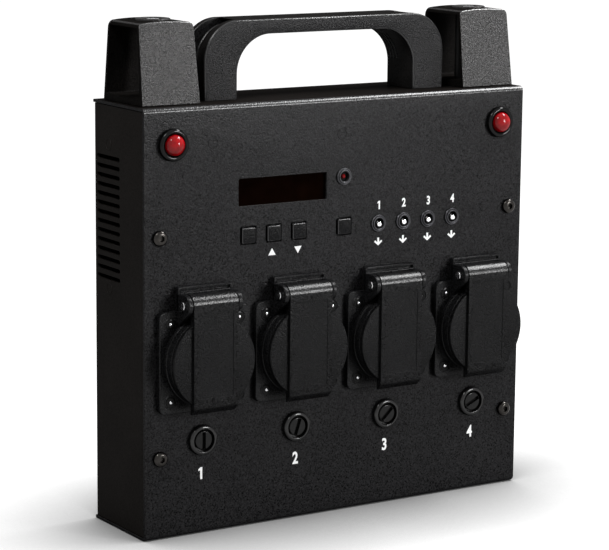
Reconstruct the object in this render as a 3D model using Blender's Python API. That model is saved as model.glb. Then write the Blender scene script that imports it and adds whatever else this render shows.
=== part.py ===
"""Four-way switch pack: folded steel case, sprung-lid sockets, fuses, controls and a bridge handle.

Measured from the panel: x from the middle of the case, y from the panel's outer face into the
case, z up from the underside. One empty carries every piece and puts the origin under the middle
of the whole object. Lengths are metres.
"""
import math

import bmesh
import bpy
from mathutils import Matrix

# Fits between pieces
FIT = 0.0003
HOLE_PLAY = 0.0004
EMBED = 0.0006
CUT_MARGIN = 0.0020

# Case of folded sheet
CASE_WIDTH = 0.222
CASE_HEIGHT = 0.209
CASE_DEPTH = 0.0505
SHEET = 0.0015
BEND_RADIUS = 0.0024
SIDE_BEND_RADIUS = 0.0027
BEND_STEPS = 3
SIDE_INSET = 0.0004
CASE_MARGIN = 0.0038
FLANGE_WIDTH = 0.0064
TAB_WIDTH = 0.0160
TAB_HEIGHT = 0.0180
LIP_DEPTH = 0.0120

# Screws that hold the front cover to the tray
SCREW_INSET = 0.0083
SCREW_UPPER = CASE_HEIGHT * 0.7053
SCREW_LOWER = CASE_HEIGHT * 0.1919
SCREW_HEAD_RADIUS = 0.0038
SCREW_HEAD_HEIGHT = 0.0022
SCREW_RADIUS = 0.0019
SCREW_LENGTH = 0.0085
SCREW_SOCKET_RADIUS = 0.0013
NUT_WALL = 0.0014
NUT_LENGTH = 0.0040

# Vent slots in both sides
VENT_COUNT = 14
VENT_TOP_MARGIN = 0.0270
VENT_BOTTOM_MARGIN = 0.0045
VENT_OPEN_SHARE = 0.49
VENT_LENGTH = 0.0228
VENT_REAR_MARGIN = 0.0030

# Row of sockets
SOCKET_COUNT = 4
SOCKET_PITCH = (CASE_WIDTH - 2 * CASE_MARGIN) / SOCKET_COUNT
SOCKET_GAP = 0.0036
SOCKET_ROW_SHIFT = 0.0010
SOCKET_LEVEL = CASE_HEIGHT * 0.4167
FLANGE_SIZE = SOCKET_PITCH - SOCKET_GAP
FLANGE_CORNER = 0.0040
FLANGE_THICKNESS = 0.0027
FLANGE_MARGIN = 0.0022
COLLAR_RADIUS = FLANGE_SIZE / 2 - FLANGE_MARGIN
COLLAR_REACH = 0.0096
COLLAR_EDGE = 0.0009
COLLAR_WALL = 0.00305
WELL_RADIUS = COLLAR_RADIUS - COLLAR_WALL
WELL_DEPTH = 0.0172
WELL_WALL = 0.0016
WELL_FLOOR = 0.0030
CONTACT_SPACING = 0.0190
CONTACT_RADIUS = 0.0026
CONTACT_DEPTH = 0.0080
CONTACT_BLOCK_WIDTH = 0.0280
CONTACT_BLOCK_HEIGHT = 0.0170
CONTACT_BLOCK_DEPTH = 0.0085
EARTH_CLIP_WIDTH = 0.0050
EARTH_CLIP_THICKNESS = 0.0014
EARTH_CLIP_LENGTH = 0.0110

# Sprung lid and its hinge
LID_INSET = 0.0002
LID_RADIUS = COLLAR_RADIUS - LID_INSET
LID_THICKNESS = 0.0024
LID_EDGE = 0.0008
LID_PLUG_DEPTH = 0.0015
LID_PLUG_PLAY = 0.0006
STRAP_WIDTH = 0.0244
STRAP_PROUD = 0.0015
STRAP_OVERHANG = 0.0020
STRAP_CHAMFER = 0.0031
STRAP_RECESS_WIDTH = 0.0190
STRAP_RECESS_HEAD = 0.0035
STRAP_RECESS_FOOT = 0.0060
STRAP_RECESS_DEPTH = 0.0004
HINGE_CLEARANCE = 0.0006
BARREL_STEPS = 10
PIN_RADIUS = 0.0013
PIN_HEAD_RADIUS = 0.0021
PIN_HEAD_LENGTH = 0.0008
EAR_THICKNESS = 0.0025
EAR_FOOT_DROP = 0.0115
EAR_HEEL_REACH = 0.0060
EAR_HEEL_DROP = 0.0085
HINGE_PLATE_ABOVE = 0.0079
HINGE_PLATE_BELOW = 0.0105
HINGE_PLATE_THICKNESS = 0.0030
HINGE_LIP_HEIGHT = 0.0011
HINGE_GROOVE_HEIGHT = 0.0016
HINGE_GROOVE_DEPTH = 0.0015
HINGE_GROOVE_MARGIN = 0.0015

# Row of fuse holders
FUSE_LEVEL = CASE_HEIGHT * 0.2239
FUSE_BEZEL_RADIUS = 0.00765
FUSE_BEZEL_PROUD = 0.0026
FUSE_BEZEL_CROWN = 0.0014
FUSE_BODY_RADIUS = 0.0062
FUSE_BODY_END = 0.0045
FUSE_NUT_RADIUS = 0.0080
FUSE_NUT_THICKNESS = 0.0030
FUSE_CAP_RADIUS = 0.0051
FUSE_CAP_SUNK = 0.0007
FUSE_CAP_THICKNESS = 0.0035
FUSE_SLOT_WIDTH = 0.0014
FUSE_SLOT_DEPTH = 0.0012
FUSE_SLOT_LENGTH = 0.0084
FUSE_SHANK_RADIUS = 0.0036
FUSE_SHANK_LENGTH = 0.0090
FUSE_LINK_RADIUS = 0.0026
FUSE_LINK_LENGTH = 0.0200
FUSE_LINK_GRIP = 0.0055
FUSE_SLOT_ANGLES = (0.0, 18.0, 46.0, 64.0)

# Toggle switches
TOGGLE_FIRST = 0.0220
TOGGLE_PITCH = 0.0150
TOGGLE_COUNT = 4
CONTROL_LEVEL = CASE_HEIGHT * 0.6928
TOGGLE_RING_RADIUS = 0.0044
TOGGLE_RING_HEIGHT = 0.0006
TOGGLE_BUSHING_RADIUS = 0.0032
TOGGLE_BUSHING_PROUD = 0.0010
TOGGLE_BORE_RADIUS = 0.0027
TOGGLE_BORE_DEPTH = 0.0036
TOGGLE_BODY_WIDTH = 0.0080
TOGGLE_BODY_HEIGHT = 0.0128
TOGGLE_BALL_RADIUS = 0.0019
TOGGLE_NECK_RADIUS = 0.0013
TOGGLE_TIP_RADIUS = 0.0015
TOGGLE_LEVER_LENGTH = 0.0034
TOGGLE_PIVOT_DEPTH = 0.0012
TOGGLE_TILT = 15.0

# Push buttons
BUTTON_NAMES = ("mode", "up", "down", "lock")
BUTTON_XS = (-0.0537, -0.0393, -0.0249, 0.0015)
BUTTON_HOLE = 0.0089
BUTTON_GAP = 0.0007
BUTTON_PROUD = 0.0008
BUTTON_CORNER = 0.0007
BUTTON_EDGE = 0.0004
BUTTON_FLANGE = 0.0006
BUTTON_FLANGE_THICKNESS = 0.0010
BUTTON_STEM_RADIUS = 0.0018
BUTTON_TRAVEL = 0.0006
KEY_SWITCH_SIZE = 0.0060
KEY_SWITCH_HEIGHT = 0.0044

# Display
WINDOW_LEFT = -0.0591
WINDOW_WIDTH = 0.0502
WINDOW_BOTTOM = CASE_HEIGHT * 0.7622
WINDOW_HEIGHT = 0.0132
WINDOW_MARGIN = 0.0026
WINDOW_THICKNESS = 0.0020
MODULE_INSET = 0.0012

# Lamps at the top corners and the signal light beside the display
LAMP_INSET = 0.0154
LAMP_LEVEL = CASE_HEIGHT * 0.9158
LAMP_LENS_RADIUS = 0.0050
LAMP_BEZEL_WIDTH = 0.0025
LAMP_BEZEL_PROUD = 0.0028
LAMP_DOME = 0.0036
LAMP_SLEEVE_WALL = 0.0012
LAMP_SLEEVE_LENGTH = 0.0080
SIGNAL_GAP = 0.0099
SIGNAL_LEVEL = CASE_HEIGHT * 0.8124
SIGNAL_LENS_RADIUS = 0.0025
SIGNAL_BEZEL_WIDTH = 0.0014
SIGNAL_BEZEL_PROUD = 0.0012
SIGNAL_DOME = 0.0014
SIGNAL_SLEEVE_WALL = 0.0007
SIGNAL_SLEEVE_LENGTH = 0.0060
LAMP_NUT_WIDTH = 0.0012
LAMP_NUT_THICKNESS = 0.0018
LENS_TAIL = 0.0008

# Boards inside, and the pressed-in studs that carry them
BOARD_THICKNESS = 0.0016
BOARD_PLACE = 0.0125
BOARD_MARGIN = 0.0060
STUD_RADIUS = 0.0025
STUD_TIP_RADIUS = 0.0013
STUD_TIP_LENGTH = 0.0010
STUDS_UPPER_LEVEL = CASE_HEIGHT * 0.9134
STUDS_UPPER = (-CASE_WIDTH * 0.3306, 0.0, CASE_WIDTH * 0.3505)
STUDS_LOWER_LEVEL = CASE_HEIGHT * 0.6919
STUDS_LOWER = (-0.0634, 0.0113, 0.0779)
POWER_LEFT_GAP = 0.0160
POWER_RIGHT_GAP = 0.0180
POWER_BOTTOM = CASE_HEIGHT * 0.306
POWER_TOP = CASE_HEIGHT * 0.622
POWER_STANDOFF = 0.0060
RELAY_WIDTH = 0.0190
RELAY_HEIGHT = 0.0155
RELAY_REACH = 0.0150
RELAY_LEVEL = CASE_HEIGHT * 0.541
TERMINAL_WIDTH = 0.0600
TERMINAL_HEIGHT = 0.0085
TERMINAL_REACH = 0.0100
TERMINAL_LEVEL = CASE_HEIGHT * 0.3565
TRANSFORMER_WIDTH = 0.0280
TRANSFORMER_HEIGHT = 0.0230
TRANSFORMER_REACH = 0.0165
TRANSFORMER_INSET = 0.0170
TRANSFORMER_LEVEL = CASE_HEIGHT * 0.4163

# Carrying handle
HANDLE_GAP = 0.0072
HANDLE_HEIGHT = 0.0380
HANDLE_FRONT = 0.0140
HANDLE_THICKNESS = 0.0237
HANDLE_LEG = 0.0184
HANDLE_GRIP = 0.0072
HANDLE_OUTER_RADIUS = 0.0190
HANDLE_INNER_RADIUS = 0.0190
HANDLE_STEPS = 6
HANDLE_EDGE = 0.0012
CHANNEL_DEPTH = 0.0070
CHANNEL_WALL = 0.0045
CHANNEL_SWEEP = 68.0
RIB_GROOVES = 4
RIB_GROOVE_WIDTH = 0.0013
RIB_GROOVE_DEPTH = 0.0008
RIB_GROOVE_PITCH = 0.0026
RIB_FOOT = 0.0140
HANDLE_STUD_RADIUS = 0.0020
HANDLE_NUT_RADIUS = 0.0036
HANDLE_NUT_HEIGHT = 0.0024

# Stand-off blocks beside the handle
BLOCK_INSET = 0.0028
BLOCK_WIDTH = 0.0310
BLOCK_FRONT = 0.0060
BLOCK_DEPTH = 0.0360
BLOCK_HEIGHT = 0.0382
BLOCK_SIDE_TAPER = 0.0008
BLOCK_FRONT_TAPER = 0.0052
BLOCK_REAR_TAPER = 0.0034
BLOCK_CORNER = 0.0020
BLOCK_CROWN = 0.0008
BLOCK_WALL = 0.0024
BLOCK_BASE = 0.0050
BLOCK_ROOF = 0.0028
COLUMN_RADIUS = 0.0065
BOSS_RADIUS = 0.0084
BOSS_RISE = 0.0016
BOSS_EDGE = 0.0004
BOSS_RECESS = 0.0030
CAP_SCREW_HEAD_RADIUS = 0.0046
CAP_SCREW_HEAD_HEIGHT = 0.0022
CAP_SCREW_RADIUS = 0.0020
CAP_SCREW_SOCKET_RADIUS = 0.0018
CAP_SCREW_END = 0.0020

# Connectors in the right side
CONNECTOR_FLANGE = 0.0020
CONNECTOR_CORNER = 0.0020
CONNECTOR_REAR = 0.0185
CONNECTOR_FOOT = 0.0050
CONNECTOR_GAP = 0.0020
CONNECTOR_FLOOR = 0.0030
CONNECTOR_SCREW_RADIUS = 0.0022
CONNECTOR_SCREW_HEIGHT = 0.0009
DATA_WIDTH = 0.0260
DATA_HEIGHT = 0.0310
DATA_SCREW_INSET = 0.0035
DATA_WELL_RADIUS = 0.0096
DATA_WALL = 0.0016
DATA_WELL_DEPTH = 0.0140
DATA_PIN_RADIUS = 0.0011
DATA_PIN_CIRCLE = 0.0037
DATA_PIN_LENGTH = 0.0105
DATA_CORE_RADIUS = 0.0078
DATA_CORE_SUNK = 0.0008
DATA_PIN_ANGLES = (0.0, 180.0, 270.0)
INLET_WIDTH = 0.0275
INLET_HEIGHT = 0.0480
INLET_WELL_WIDTH = 0.0170
INLET_WELL_HEIGHT = 0.0240
INLET_WELL_CORNER = 0.0020
INLET_WELL_DEPTH = 0.0140
INLET_WALL = 0.0018
INLET_BLADE_THICKNESS = 0.0020
INLET_BLADE_HEIGHT = 0.0040
INLET_BLADE_LENGTH = 0.0110
INLET_BLADE_PITCH = 0.0070
INLET_BLADE_SHIFT = 0.0020
INLET_SCREW_PITCH = 0.0400

# Number of flats round a circle
LARGE_STEPS = 24
MEDIUM_STEPS = 12
SMALL_STEPS = 10
TINY_STEPS = 8
STUD_STEPS = 6
CORNER_STEPS = 3

# Places worked out from the sizes above
LID_BACK = COLLAR_REACH + FIT
LID_FRONT = LID_BACK + LID_THICKNESS
STRAP_FRONT = LID_FRONT + STRAP_PROUD
STRAP_BACK = LID_BACK + FIT
BARREL_RADIUS = (STRAP_FRONT - HINGE_PLATE_THICKNESS - 2 * FIT) / 2
HINGE_REACH = STRAP_FRONT - BARREL_RADIUS
HINGE_RISE = COLLAR_RADIUS + BARREL_RADIUS + HINGE_CLEARANCE
HINGE_PLATE_RISE = HINGE_RISE + HINGE_PLATE_ABOVE
HINGE_PLATE_FOOT = HINGE_RISE - HINGE_PLATE_BELOW
EAR_FOOT_RISE = HINGE_RISE - EAR_FOOT_DROP
EAR_HEEL_RISE = HINGE_RISE - EAR_HEEL_DROP
EAR_INNER = STRAP_WIDTH / 2 + FIT
EAR_OUTER = EAR_INNER + EAR_THICKNESS
WELL_BOTTOM = WELL_DEPTH - COLLAR_REACH
BODY_RADIUS = WELL_RADIUS + WELL_WALL
BODY_BACK = WELL_BOTTOM + WELL_FLOOR
SIDE_FACE = CASE_WIDTH / 2 - SIDE_INSET
PANEL_BACK = SHEET + FIT
TRAY_TOP = CASE_HEIGHT - SHEET - FIT
SCREW_X = CASE_WIDTH / 2 - SCREW_INSET
LAMP_OFFSET = CASE_WIDTH / 2 - LAMP_INSET
SIGNAL_PLACE = WINDOW_LEFT + WINDOW_WIDTH + SIGNAL_GAP
SOCKET_XS = [SOCKET_ROW_SHIFT + (k - (SOCKET_COUNT - 1) / 2) * SOCKET_PITCH for k in range(SOCKET_COUNT)]
TOGGLE_XS = [TOGGLE_FIRST + k * TOGGLE_PITCH for k in range(TOGGLE_COUNT)]
STUD_SPOTS = [(x, STUDS_UPPER_LEVEL) for x in STUDS_UPPER] + [(x, STUDS_LOWER_LEVEL) for x in STUDS_LOWER]
POWER_REAR = CASE_DEPTH - SHEET - POWER_STANDOFF
POWER_LEFT = POWER_LEFT_GAP - CASE_WIDTH / 2
POWER_RIGHT = CASE_WIDTH / 2 - POWER_RIGHT_GAP
TRANSFORMER_PLACE = POWER_LEFT + TRANSFORMER_INSET
POWER_SPOTS = [(x, z) for x in (POWER_LEFT + BOARD_MARGIN, POWER_RIGHT - BOARD_MARGIN)
               for z in (POWER_BOTTOM + BOARD_MARGIN, POWER_TOP - BOARD_MARGIN)]
FUSE_CAP_FRONT = FUSE_CAP_SUNK - FUSE_BEZEL_PROUD
FUSE_CAP_BACK = FUSE_CAP_FRONT + FUSE_CAP_THICKNESS
FUSE_SHANK_END = FUSE_CAP_BACK + FUSE_SHANK_LENGTH
FUSE_LINK_START = FUSE_SHANK_END - FUSE_LINK_GRIP
FUSE_LINK_STOP = FUSE_LINK_START + FUSE_LINK_LENGTH
FUSE_BORE_END = FUSE_LINK_STOP + FIT
BLOCK_INNER = CASE_WIDTH / 2 - BLOCK_INSET - BLOCK_WIDTH
HANDLE_HALF_WIDTH = BLOCK_INNER - HANDLE_GAP
HANDLE_BASE = CASE_HEIGHT + FIT
HANDLE_MIDDLE = HANDLE_FRONT + HANDLE_THICKNESS / 2
HANDLE_STUD_X = HANDLE_HALF_WIDTH - (CHANNEL_DEPTH + HANDLE_LEG) / 2
BLOCK_X = BLOCK_INNER + BLOCK_WIDTH / 2
BLOCK_Y = BLOCK_FRONT + BLOCK_DEPTH / 2
BOSS_TOP = BLOCK_HEIGHT + BOSS_RISE
CONNECTOR_PLACE = CASE_DEPTH - CONNECTOR_REAR
INLET_LEVEL = CONNECTOR_FOOT + INLET_HEIGHT / 2
DATA_OUT_LEVEL = INLET_LEVEL + (INLET_HEIGHT + DATA_HEIGHT) / 2 + CONNECTOR_GAP
DATA_IN_LEVEL = DATA_OUT_LEVEL + DATA_HEIGHT + CONNECTOR_GAP
VENT_TOP = CASE_HEIGHT - VENT_TOP_MARGIN
VENT_BOTTOM = DATA_IN_LEVEL + DATA_HEIGHT / 2 + VENT_BOTTOM_MARGIN
VENT_PITCH = (VENT_TOP - VENT_BOTTOM) / (VENT_COUNT - 1)
VENT_HEIGHT = VENT_PITCH * VENT_OPEN_SHARE
DATA_RADIUS = DATA_WELL_RADIUS + DATA_WALL
FLANGE_FACE = SIDE_FACE + FIT + CONNECTOR_FLANGE
FRAME_X = (CASE_WIDTH / 2 - FLANGE_FACE - CONNECTOR_SCREW_HEIGHT) / 2
FRAME_Y = (STRAP_FRONT - CASE_DEPTH) / 2


def finish(name, colour, roughness, metallic=0.0):
    """Make one surface finish."""
    material = bpy.data.materials.new(name)
    material.use_nodes = True
    shader = material.node_tree.nodes["Principled BSDF"]
    shader.inputs["Base Color"].default_value = (*colour, 1.0)
    shader.inputs["Roughness"].default_value = roughness
    shader.inputs["Metallic"].default_value = metallic
    return material


def as_object(bm):
    """Turn an edited mesh into an object whose faces point outwards."""
    bmesh.ops.recalc_face_normals(bm, faces=bm.faces)
    mesh = bpy.data.meshes.new("shape")
    bm.to_mesh(mesh)
    bm.free()
    item = bpy.data.objects.new("shape", mesh)
    bpy.context.collection.objects.link(item)
    return item


def axis_point(axis, first, second, along):
    """Put an outline's two coordinates and a distance along the named axis in x, y, z order."""
    if axis == "X":
        return (along, first, second)
    if axis == "Y":
        return (first, along, second)
    return (first, second, along)


def loft(levels, axis):
    """Skin outlines of equal count, each paired with its distance along the axis, and cap the ends."""
    bm = bmesh.new()
    loops = [[bm.verts.new(axis_point(axis, a, b, along)) for a, b in outline] for outline, along in levels]
    for lower, upper in zip(loops, loops[1:]):
        count = len(lower)
        for k in range(count):
            bm.faces.new((lower[k], lower[(k + 1) % count], upper[(k + 1) % count], upper[k]))
    bm.faces.new(loops[0])
    bm.faces.new(loops[-1])
    return as_object(bm)


def prism(outline, low, high, axis):
    """Extrude an outline from low to high along an axis."""
    return loft([(outline, low), (outline, high)], axis)


def block(low, high):
    """Make a box between two corners."""
    outline = [(low[0], low[1]), (high[0], low[1]), (high[0], high[1]), (low[0], high[1])]
    return prism(outline, low[2], high[2], "Z")


def arc(centre, radius, start, end, steps):
    """Points on a circular arc, its angles in degrees."""
    angles = [math.radians(start + (end - start) * k / steps) for k in range(steps + 1)]
    return [(centre[0] + radius * math.cos(a), centre[1] + radius * math.sin(a)) for a in angles]


def rounded_rectangle(width, height, radius, centre=(0.0, 0.0), steps=CORNER_STEPS):
    """Outline of a rectangle with round corners."""
    points = []
    for k, (side, up) in enumerate(((1, 1), (-1, 1), (-1, -1), (1, -1))):
        middle = (centre[0] + side * (width / 2 - radius), centre[1] + up * (height / 2 - radius))
        points += arc(middle, radius, 90.0 * k, 90.0 * (k + 1), steps)
    return points


def slot_outline(length, height, centre):
    """Outline of a slot with round ends."""
    offset = (length - height) / 2
    right = arc((centre[0] + offset, centre[1]), height / 2, -90.0, 90.0, CORNER_STEPS)
    left = arc((centre[0] - offset, centre[1]), height / 2, 90.0, 270.0, CORNER_STEPS)
    return right + left


def folded_sheet(corners, radius):
    """Outline of a sheet folded at right angles, from the corner points of its outer face."""
    runs = []
    for (a, b), (c, d) in zip(corners, corners[1:]):
        length = math.hypot(c - a, d - b)
        runs.append(((c - a) / length, (d - b) / length))
    start, end = corners[0], corners[-1]
    outer = [start]
    inner = [(start[0] + runs[1][0] * SHEET, start[1] + runs[1][1] * SHEET)]
    for (x, y), before, after in zip(corners[1:-1], runs, runs[1:]):
        centre = (x + (after[0] - before[0]) * radius, y + (after[1] - before[1]) * radius)
        for k in range(BEND_STEPS + 1):
            turn = math.pi / 2 * k / BEND_STEPS
            u = before[0] * math.sin(turn) - after[0] * math.cos(turn)
            v = before[1] * math.sin(turn) - after[1] * math.cos(turn)
            outer.append((centre[0] + radius * u, centre[1] + radius * v))
            inner.append((centre[0] + (radius - SHEET) * u, centre[1] + (radius - SHEET) * v))
    outer.append(end)
    inner.append((end[0] - runs[-2][0] * SHEET, end[1] - runs[-2][1] * SHEET))
    return outer + inner[::-1]


def revolve(profile, steps, axis="Y", centre=(0.0, 0.0)):
    """Turn a profile of (radius, distance along the axis) pairs round an axis.

    A profile that starts and ends on the axis makes a solid, and one clear of it makes a ring.
    """
    bm = bmesh.new()
    loops = []
    for radius, along in profile:
        points = arc(centre, radius, 0.0, 360.0, steps)[:-1] if radius > 0 else [centre]
        loops.append([bm.verts.new(axis_point(axis, a, b, along)) for a, b in points])
    pairs = list(zip(loops, loops[1:]))
    if profile[0][0] > 0:
        pairs.append((loops[-1], loops[0]))
    for lower, upper in pairs:
        for k in range(steps):
            corners = [lower[k % len(lower)], lower[(k + 1) % len(lower)]]
            corners += [upper[(k + 1) % len(upper)], upper[k % len(upper)]]
            bm.faces.new(list(dict.fromkeys(corners)))
    return as_object(bm)


def rod(radius, low, high, steps, axis="Y", centre=(0.0, 0.0)):
    """Make a plain round bar."""
    return revolve([(0, low), (radius, low), (radius, high), (0, high)], steps, axis, centre)


def gather(items):
    """Put solids that don't meet into one object, so that they act as a single tool."""
    bm = bmesh.new()
    for item in items:
        bm.from_mesh(item.data)
        bpy.data.objects.remove(item, do_unlink=True)
    return as_object(bm)


def evaluate(item):
    """Keep the shape that an object's modifiers give it."""
    bpy.context.view_layer.update()
    evaluated = item.evaluated_get(bpy.context.evaluated_depsgraph_get())
    mesh = bpy.data.meshes.new_from_object(evaluated)
    item.modifiers.clear()
    item.data = mesh
    return item


def combine(target, tools, operation):
    """Apply the tools to the target one after another and remove them."""
    for tool in tools:
        modifier = target.modifiers.new(operation, "BOOLEAN")
        modifier.operation = operation
        modifier.solver = "EXACT"
        modifier.object = tool
        evaluate(target)
        bpy.data.objects.remove(tool, do_unlink=True)
    return target


def add(target, *tools):
    """Unite tools with the target."""
    return combine(target, tools, "UNION")


def cut(target, *tools):
    """Cut tools out of the target."""
    return combine(target, tools, "DIFFERENCE")


def soften(item, width, segments):
    """Round the square edges of a solid."""
    modifier = item.modifiers.new("soften", "BEVEL")
    modifier.width = width
    modifier.segments = segments
    modifier.limit_method = "ANGLE"
    modifier.angle_limit = math.radians(50)
    return evaluate(item)


def place(item, material, frame, spots, origin=(0.0, 0.0, 0.0), turns=None):
    """Give a piece its finish and its origin, and stand a copy of it on each named spot."""
    item.data.transform(Matrix.Translation([-value for value in origin]))
    item.data.materials.clear()
    item.data.materials.append(material)
    item.data.shade_smooth()
    item.data.set_sharp_from_angle(angle=math.radians(35))
    for k, (name, spot) in enumerate(spots.items()):
        piece = item
        if k > 0:
            piece = bpy.data.objects.new(name, item.data)
            bpy.context.collection.objects.link(piece)
        piece.name = name
        piece.parent = frame
        piece.location = [a + b for a, b in zip(origin, spot)]
        if turns:
            piece.rotation_euler = (0.0, math.radians(turns[k]), 0.0)


def stud(spot, base, shoulder, tip):
    """Make a stud with a shoulder for a board and a thinner tip that goes through it."""
    profile = [(0, base), (STUD_RADIUS, base), (STUD_RADIUS, shoulder)]
    profile += [(STUD_TIP_RADIUS, shoulder), (STUD_TIP_RADIUS, tip), (0, tip)]
    return revolve(profile, STUD_STEPS, "Y", spot)


def make_cover(frame):
    """Fold the front, top and underside, and pierce them for everything that they carry."""
    outline = folded_sheet([(CASE_DEPTH, CASE_HEIGHT), (0, CASE_HEIGHT), (0, 0), (CASE_DEPTH, 0)], BEND_RADIUS)
    cover = prism(outline, -CASE_WIDTH / 2, CASE_WIDTH / 2, "X")
    tip = BOARD_PLACE + BOARD_THICKNESS + STUD_TIP_LENGTH
    add(cover, gather([stud(spot, SHEET / 2, BOARD_PLACE - FIT, tip) for spot in STUD_SPOTS]))
    under = CASE_HEIGHT - SHEET
    nut = CAP_SCREW_RADIUS + FIT + NUT_WALL
    add(cover, gather([rod(nut, under - NUT_LENGTH, under + SHEET / 2, TINY_STEPS, "Z", (side * BLOCK_X, BLOCK_Y))
                       for side in (-1, 1)]))
    low, high = -CUT_MARGIN, SHEET + CUT_MARGIN
    holes = []
    for x in SOCKET_XS:
        holes.append(rod(BODY_RADIUS + HOLE_PLAY, low, high, LARGE_STEPS, "Y", (x, SOCKET_LEVEL)))
        holes.append(rod(FUSE_BODY_RADIUS + HOLE_PLAY, low, high, MEDIUM_STEPS, "Y", (x, FUSE_LEVEL)))
    for x in TOGGLE_XS:
        spot = (x, CONTROL_LEVEL)
        holes.append(rod(TOGGLE_BUSHING_RADIUS + HOLE_PLAY, low, high, SMALL_STEPS, "Y", spot))
    for x in BUTTON_XS:
        outline = rounded_rectangle(BUTTON_HOLE, BUTTON_HOLE, BUTTON_CORNER, (x, CONTROL_LEVEL), 1)
        holes.append(prism(outline, low, high, "Y"))
    for side in (-1, 1):
        radius = LAMP_LENS_RADIUS + FIT + LAMP_SLEEVE_WALL + HOLE_PLAY
        holes.append(rod(radius, low, high, MEDIUM_STEPS, "Y", (side * LAMP_OFFSET, LAMP_LEVEL)))
        for z in (SCREW_LOWER, SCREW_UPPER):
            holes.append(rod(SCREW_RADIUS + HOLE_PLAY, low, high, TINY_STEPS, "Y", (side * SCREW_X, z)))
        spot = (side * HANDLE_STUD_X, HANDLE_MIDDLE)
        holes.append(rod(HANDLE_STUD_RADIUS + HOLE_PLAY, under - CUT_MARGIN, HANDLE_BASE, TINY_STEPS, "Z", spot))
        spot = (side * BLOCK_X, BLOCK_Y)
        end = under - NUT_LENGTH - CUT_MARGIN
        holes.append(rod(CAP_SCREW_RADIUS + FIT, end, HANDLE_BASE, TINY_STEPS, "Z", spot))
    radius = SIGNAL_LENS_RADIUS + FIT + SIGNAL_SLEEVE_WALL + HOLE_PLAY
    holes.append(rod(radius, low, high, SMALL_STEPS, "Y", (SIGNAL_PLACE, SIGNAL_LEVEL)))
    right, top = WINDOW_LEFT + WINDOW_WIDTH, WINDOW_BOTTOM + WINDOW_HEIGHT
    holes.append(block((WINDOW_LEFT, low, WINDOW_BOTTOM), (right, high, top)))
    cut(cover, gather(holes))
    place(cover, finish("cover_powder_coat", (0.017, 0.017, 0.018), 0.6), frame, {"front_cover": (0, 0, 0)})


def make_tray(frame):
    """Fold the back and the two sides, with flanges behind the front panel."""
    corners = [(SIDE_FACE - TAB_WIDTH, PANEL_BACK), (SIDE_FACE, PANEL_BACK), (SIDE_FACE, CASE_DEPTH)]
    corners += [(-x, y) for x, y in corners[::-1]]
    bottom = SHEET + FIT
    tray = prism(folded_sheet(corners, SIDE_BEND_RADIUS), bottom, TRAY_TOP, "Z")
    lip = SIDE_FACE - SIDE_BEND_RADIUS
    add(tray, gather([block((-lip, CASE_DEPTH - LIP_DEPTH, z), (lip, CASE_DEPTH - SHEET / 2, z + SHEET))
                      for z in (bottom, TRAY_TOP - SHEET)]))
    flange_back = PANEL_BACK + SHEET
    nut = SCREW_RADIUS + FIT + NUT_WALL
    screw_spots = [(side * SCREW_X, z) for side in (-1, 1) for z in (SCREW_LOWER, SCREW_UPPER)]
    add(tray, gather([rod(nut, flange_back - SHEET / 2, flange_back + NUT_LENGTH, TINY_STEPS, "Y", spot)
                      for spot in screw_spots]))
    tip = POWER_REAR - BOARD_THICKNESS - STUD_TIP_LENGTH
    add(tray, gather([stud(spot, CASE_DEPTH - SHEET / 2, POWER_REAR + FIT, tip) for spot in POWER_SPOTS]))
    holes = [rod(SCREW_RADIUS + FIT, 0, flange_back + NUT_LENGTH + CUT_MARGIN, TINY_STEPS, "Y", spot)
             for spot in screw_spots]
    half = TAB_HEIGHT / 2
    spans = [(0, SCREW_LOWER - half), (SCREW_LOWER + half, SCREW_UPPER - half), (SCREW_UPPER + half, CASE_HEIGHT)]
    inside, outside = SIDE_FACE - SHEET - CUT_MARGIN, SIDE_FACE + CUT_MARGIN
    for side in (-1, 1):
        for low, high in spans:
            holes.append(block((side * (SIDE_FACE - TAB_WIDTH - CUT_MARGIN), 0, low),
                               (side * (SIDE_FACE - FLANGE_WIDTH), flange_back + CUT_MARGIN, high)))
        middle = CASE_DEPTH - VENT_REAR_MARGIN - VENT_LENGTH / 2
        for k in range(VENT_COUNT):
            outline = slot_outline(VENT_LENGTH, VENT_HEIGHT, (middle, VENT_TOP - k * VENT_PITCH))
            holes.append(prism(outline, side * inside, side * outside, "X"))
    for level in (DATA_IN_LEVEL, DATA_OUT_LEVEL):
        holes.append(rod(DATA_RADIUS + HOLE_PLAY, inside, outside, MEDIUM_STEPS, "X", (CONNECTOR_PLACE, level)))
    play = 2 * (INLET_WALL + HOLE_PLAY)
    outline = rounded_rectangle(INLET_WELL_WIDTH + play, INLET_WELL_HEIGHT + play, INLET_WELL_CORNER,
                                (CONNECTOR_PLACE, INLET_LEVEL), 1)
    holes.append(prism(outline, inside, outside, "X"))
    cut(tray, gather(holes))
    place(tray, finish("tray_powder_coat", (0.018, 0.018, 0.019), 0.6), frame, {"rear_tray": (0, 0, 0)})


def domed_screw(head_radius, head_height, seat, end, radius, socket_radius, axis):
    """Make a domed screw with a six-sided socket; its head stands on the seat, away from the end."""
    out = math.copysign(head_height, seat - end)
    profile = [(0, seat + out), (head_radius * 0.55, seat + out), (head_radius * 0.88, seat + out * 0.66)]
    profile += [(head_radius, seat + out * 0.25), (head_radius, seat), (radius, seat), (radius, end), (0, end)]
    screw = revolve(profile, TINY_STEPS, axis)
    return cut(screw, rod(socket_radius, seat + out * 0.45, seat + out * 1.5, 6, axis))


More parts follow.
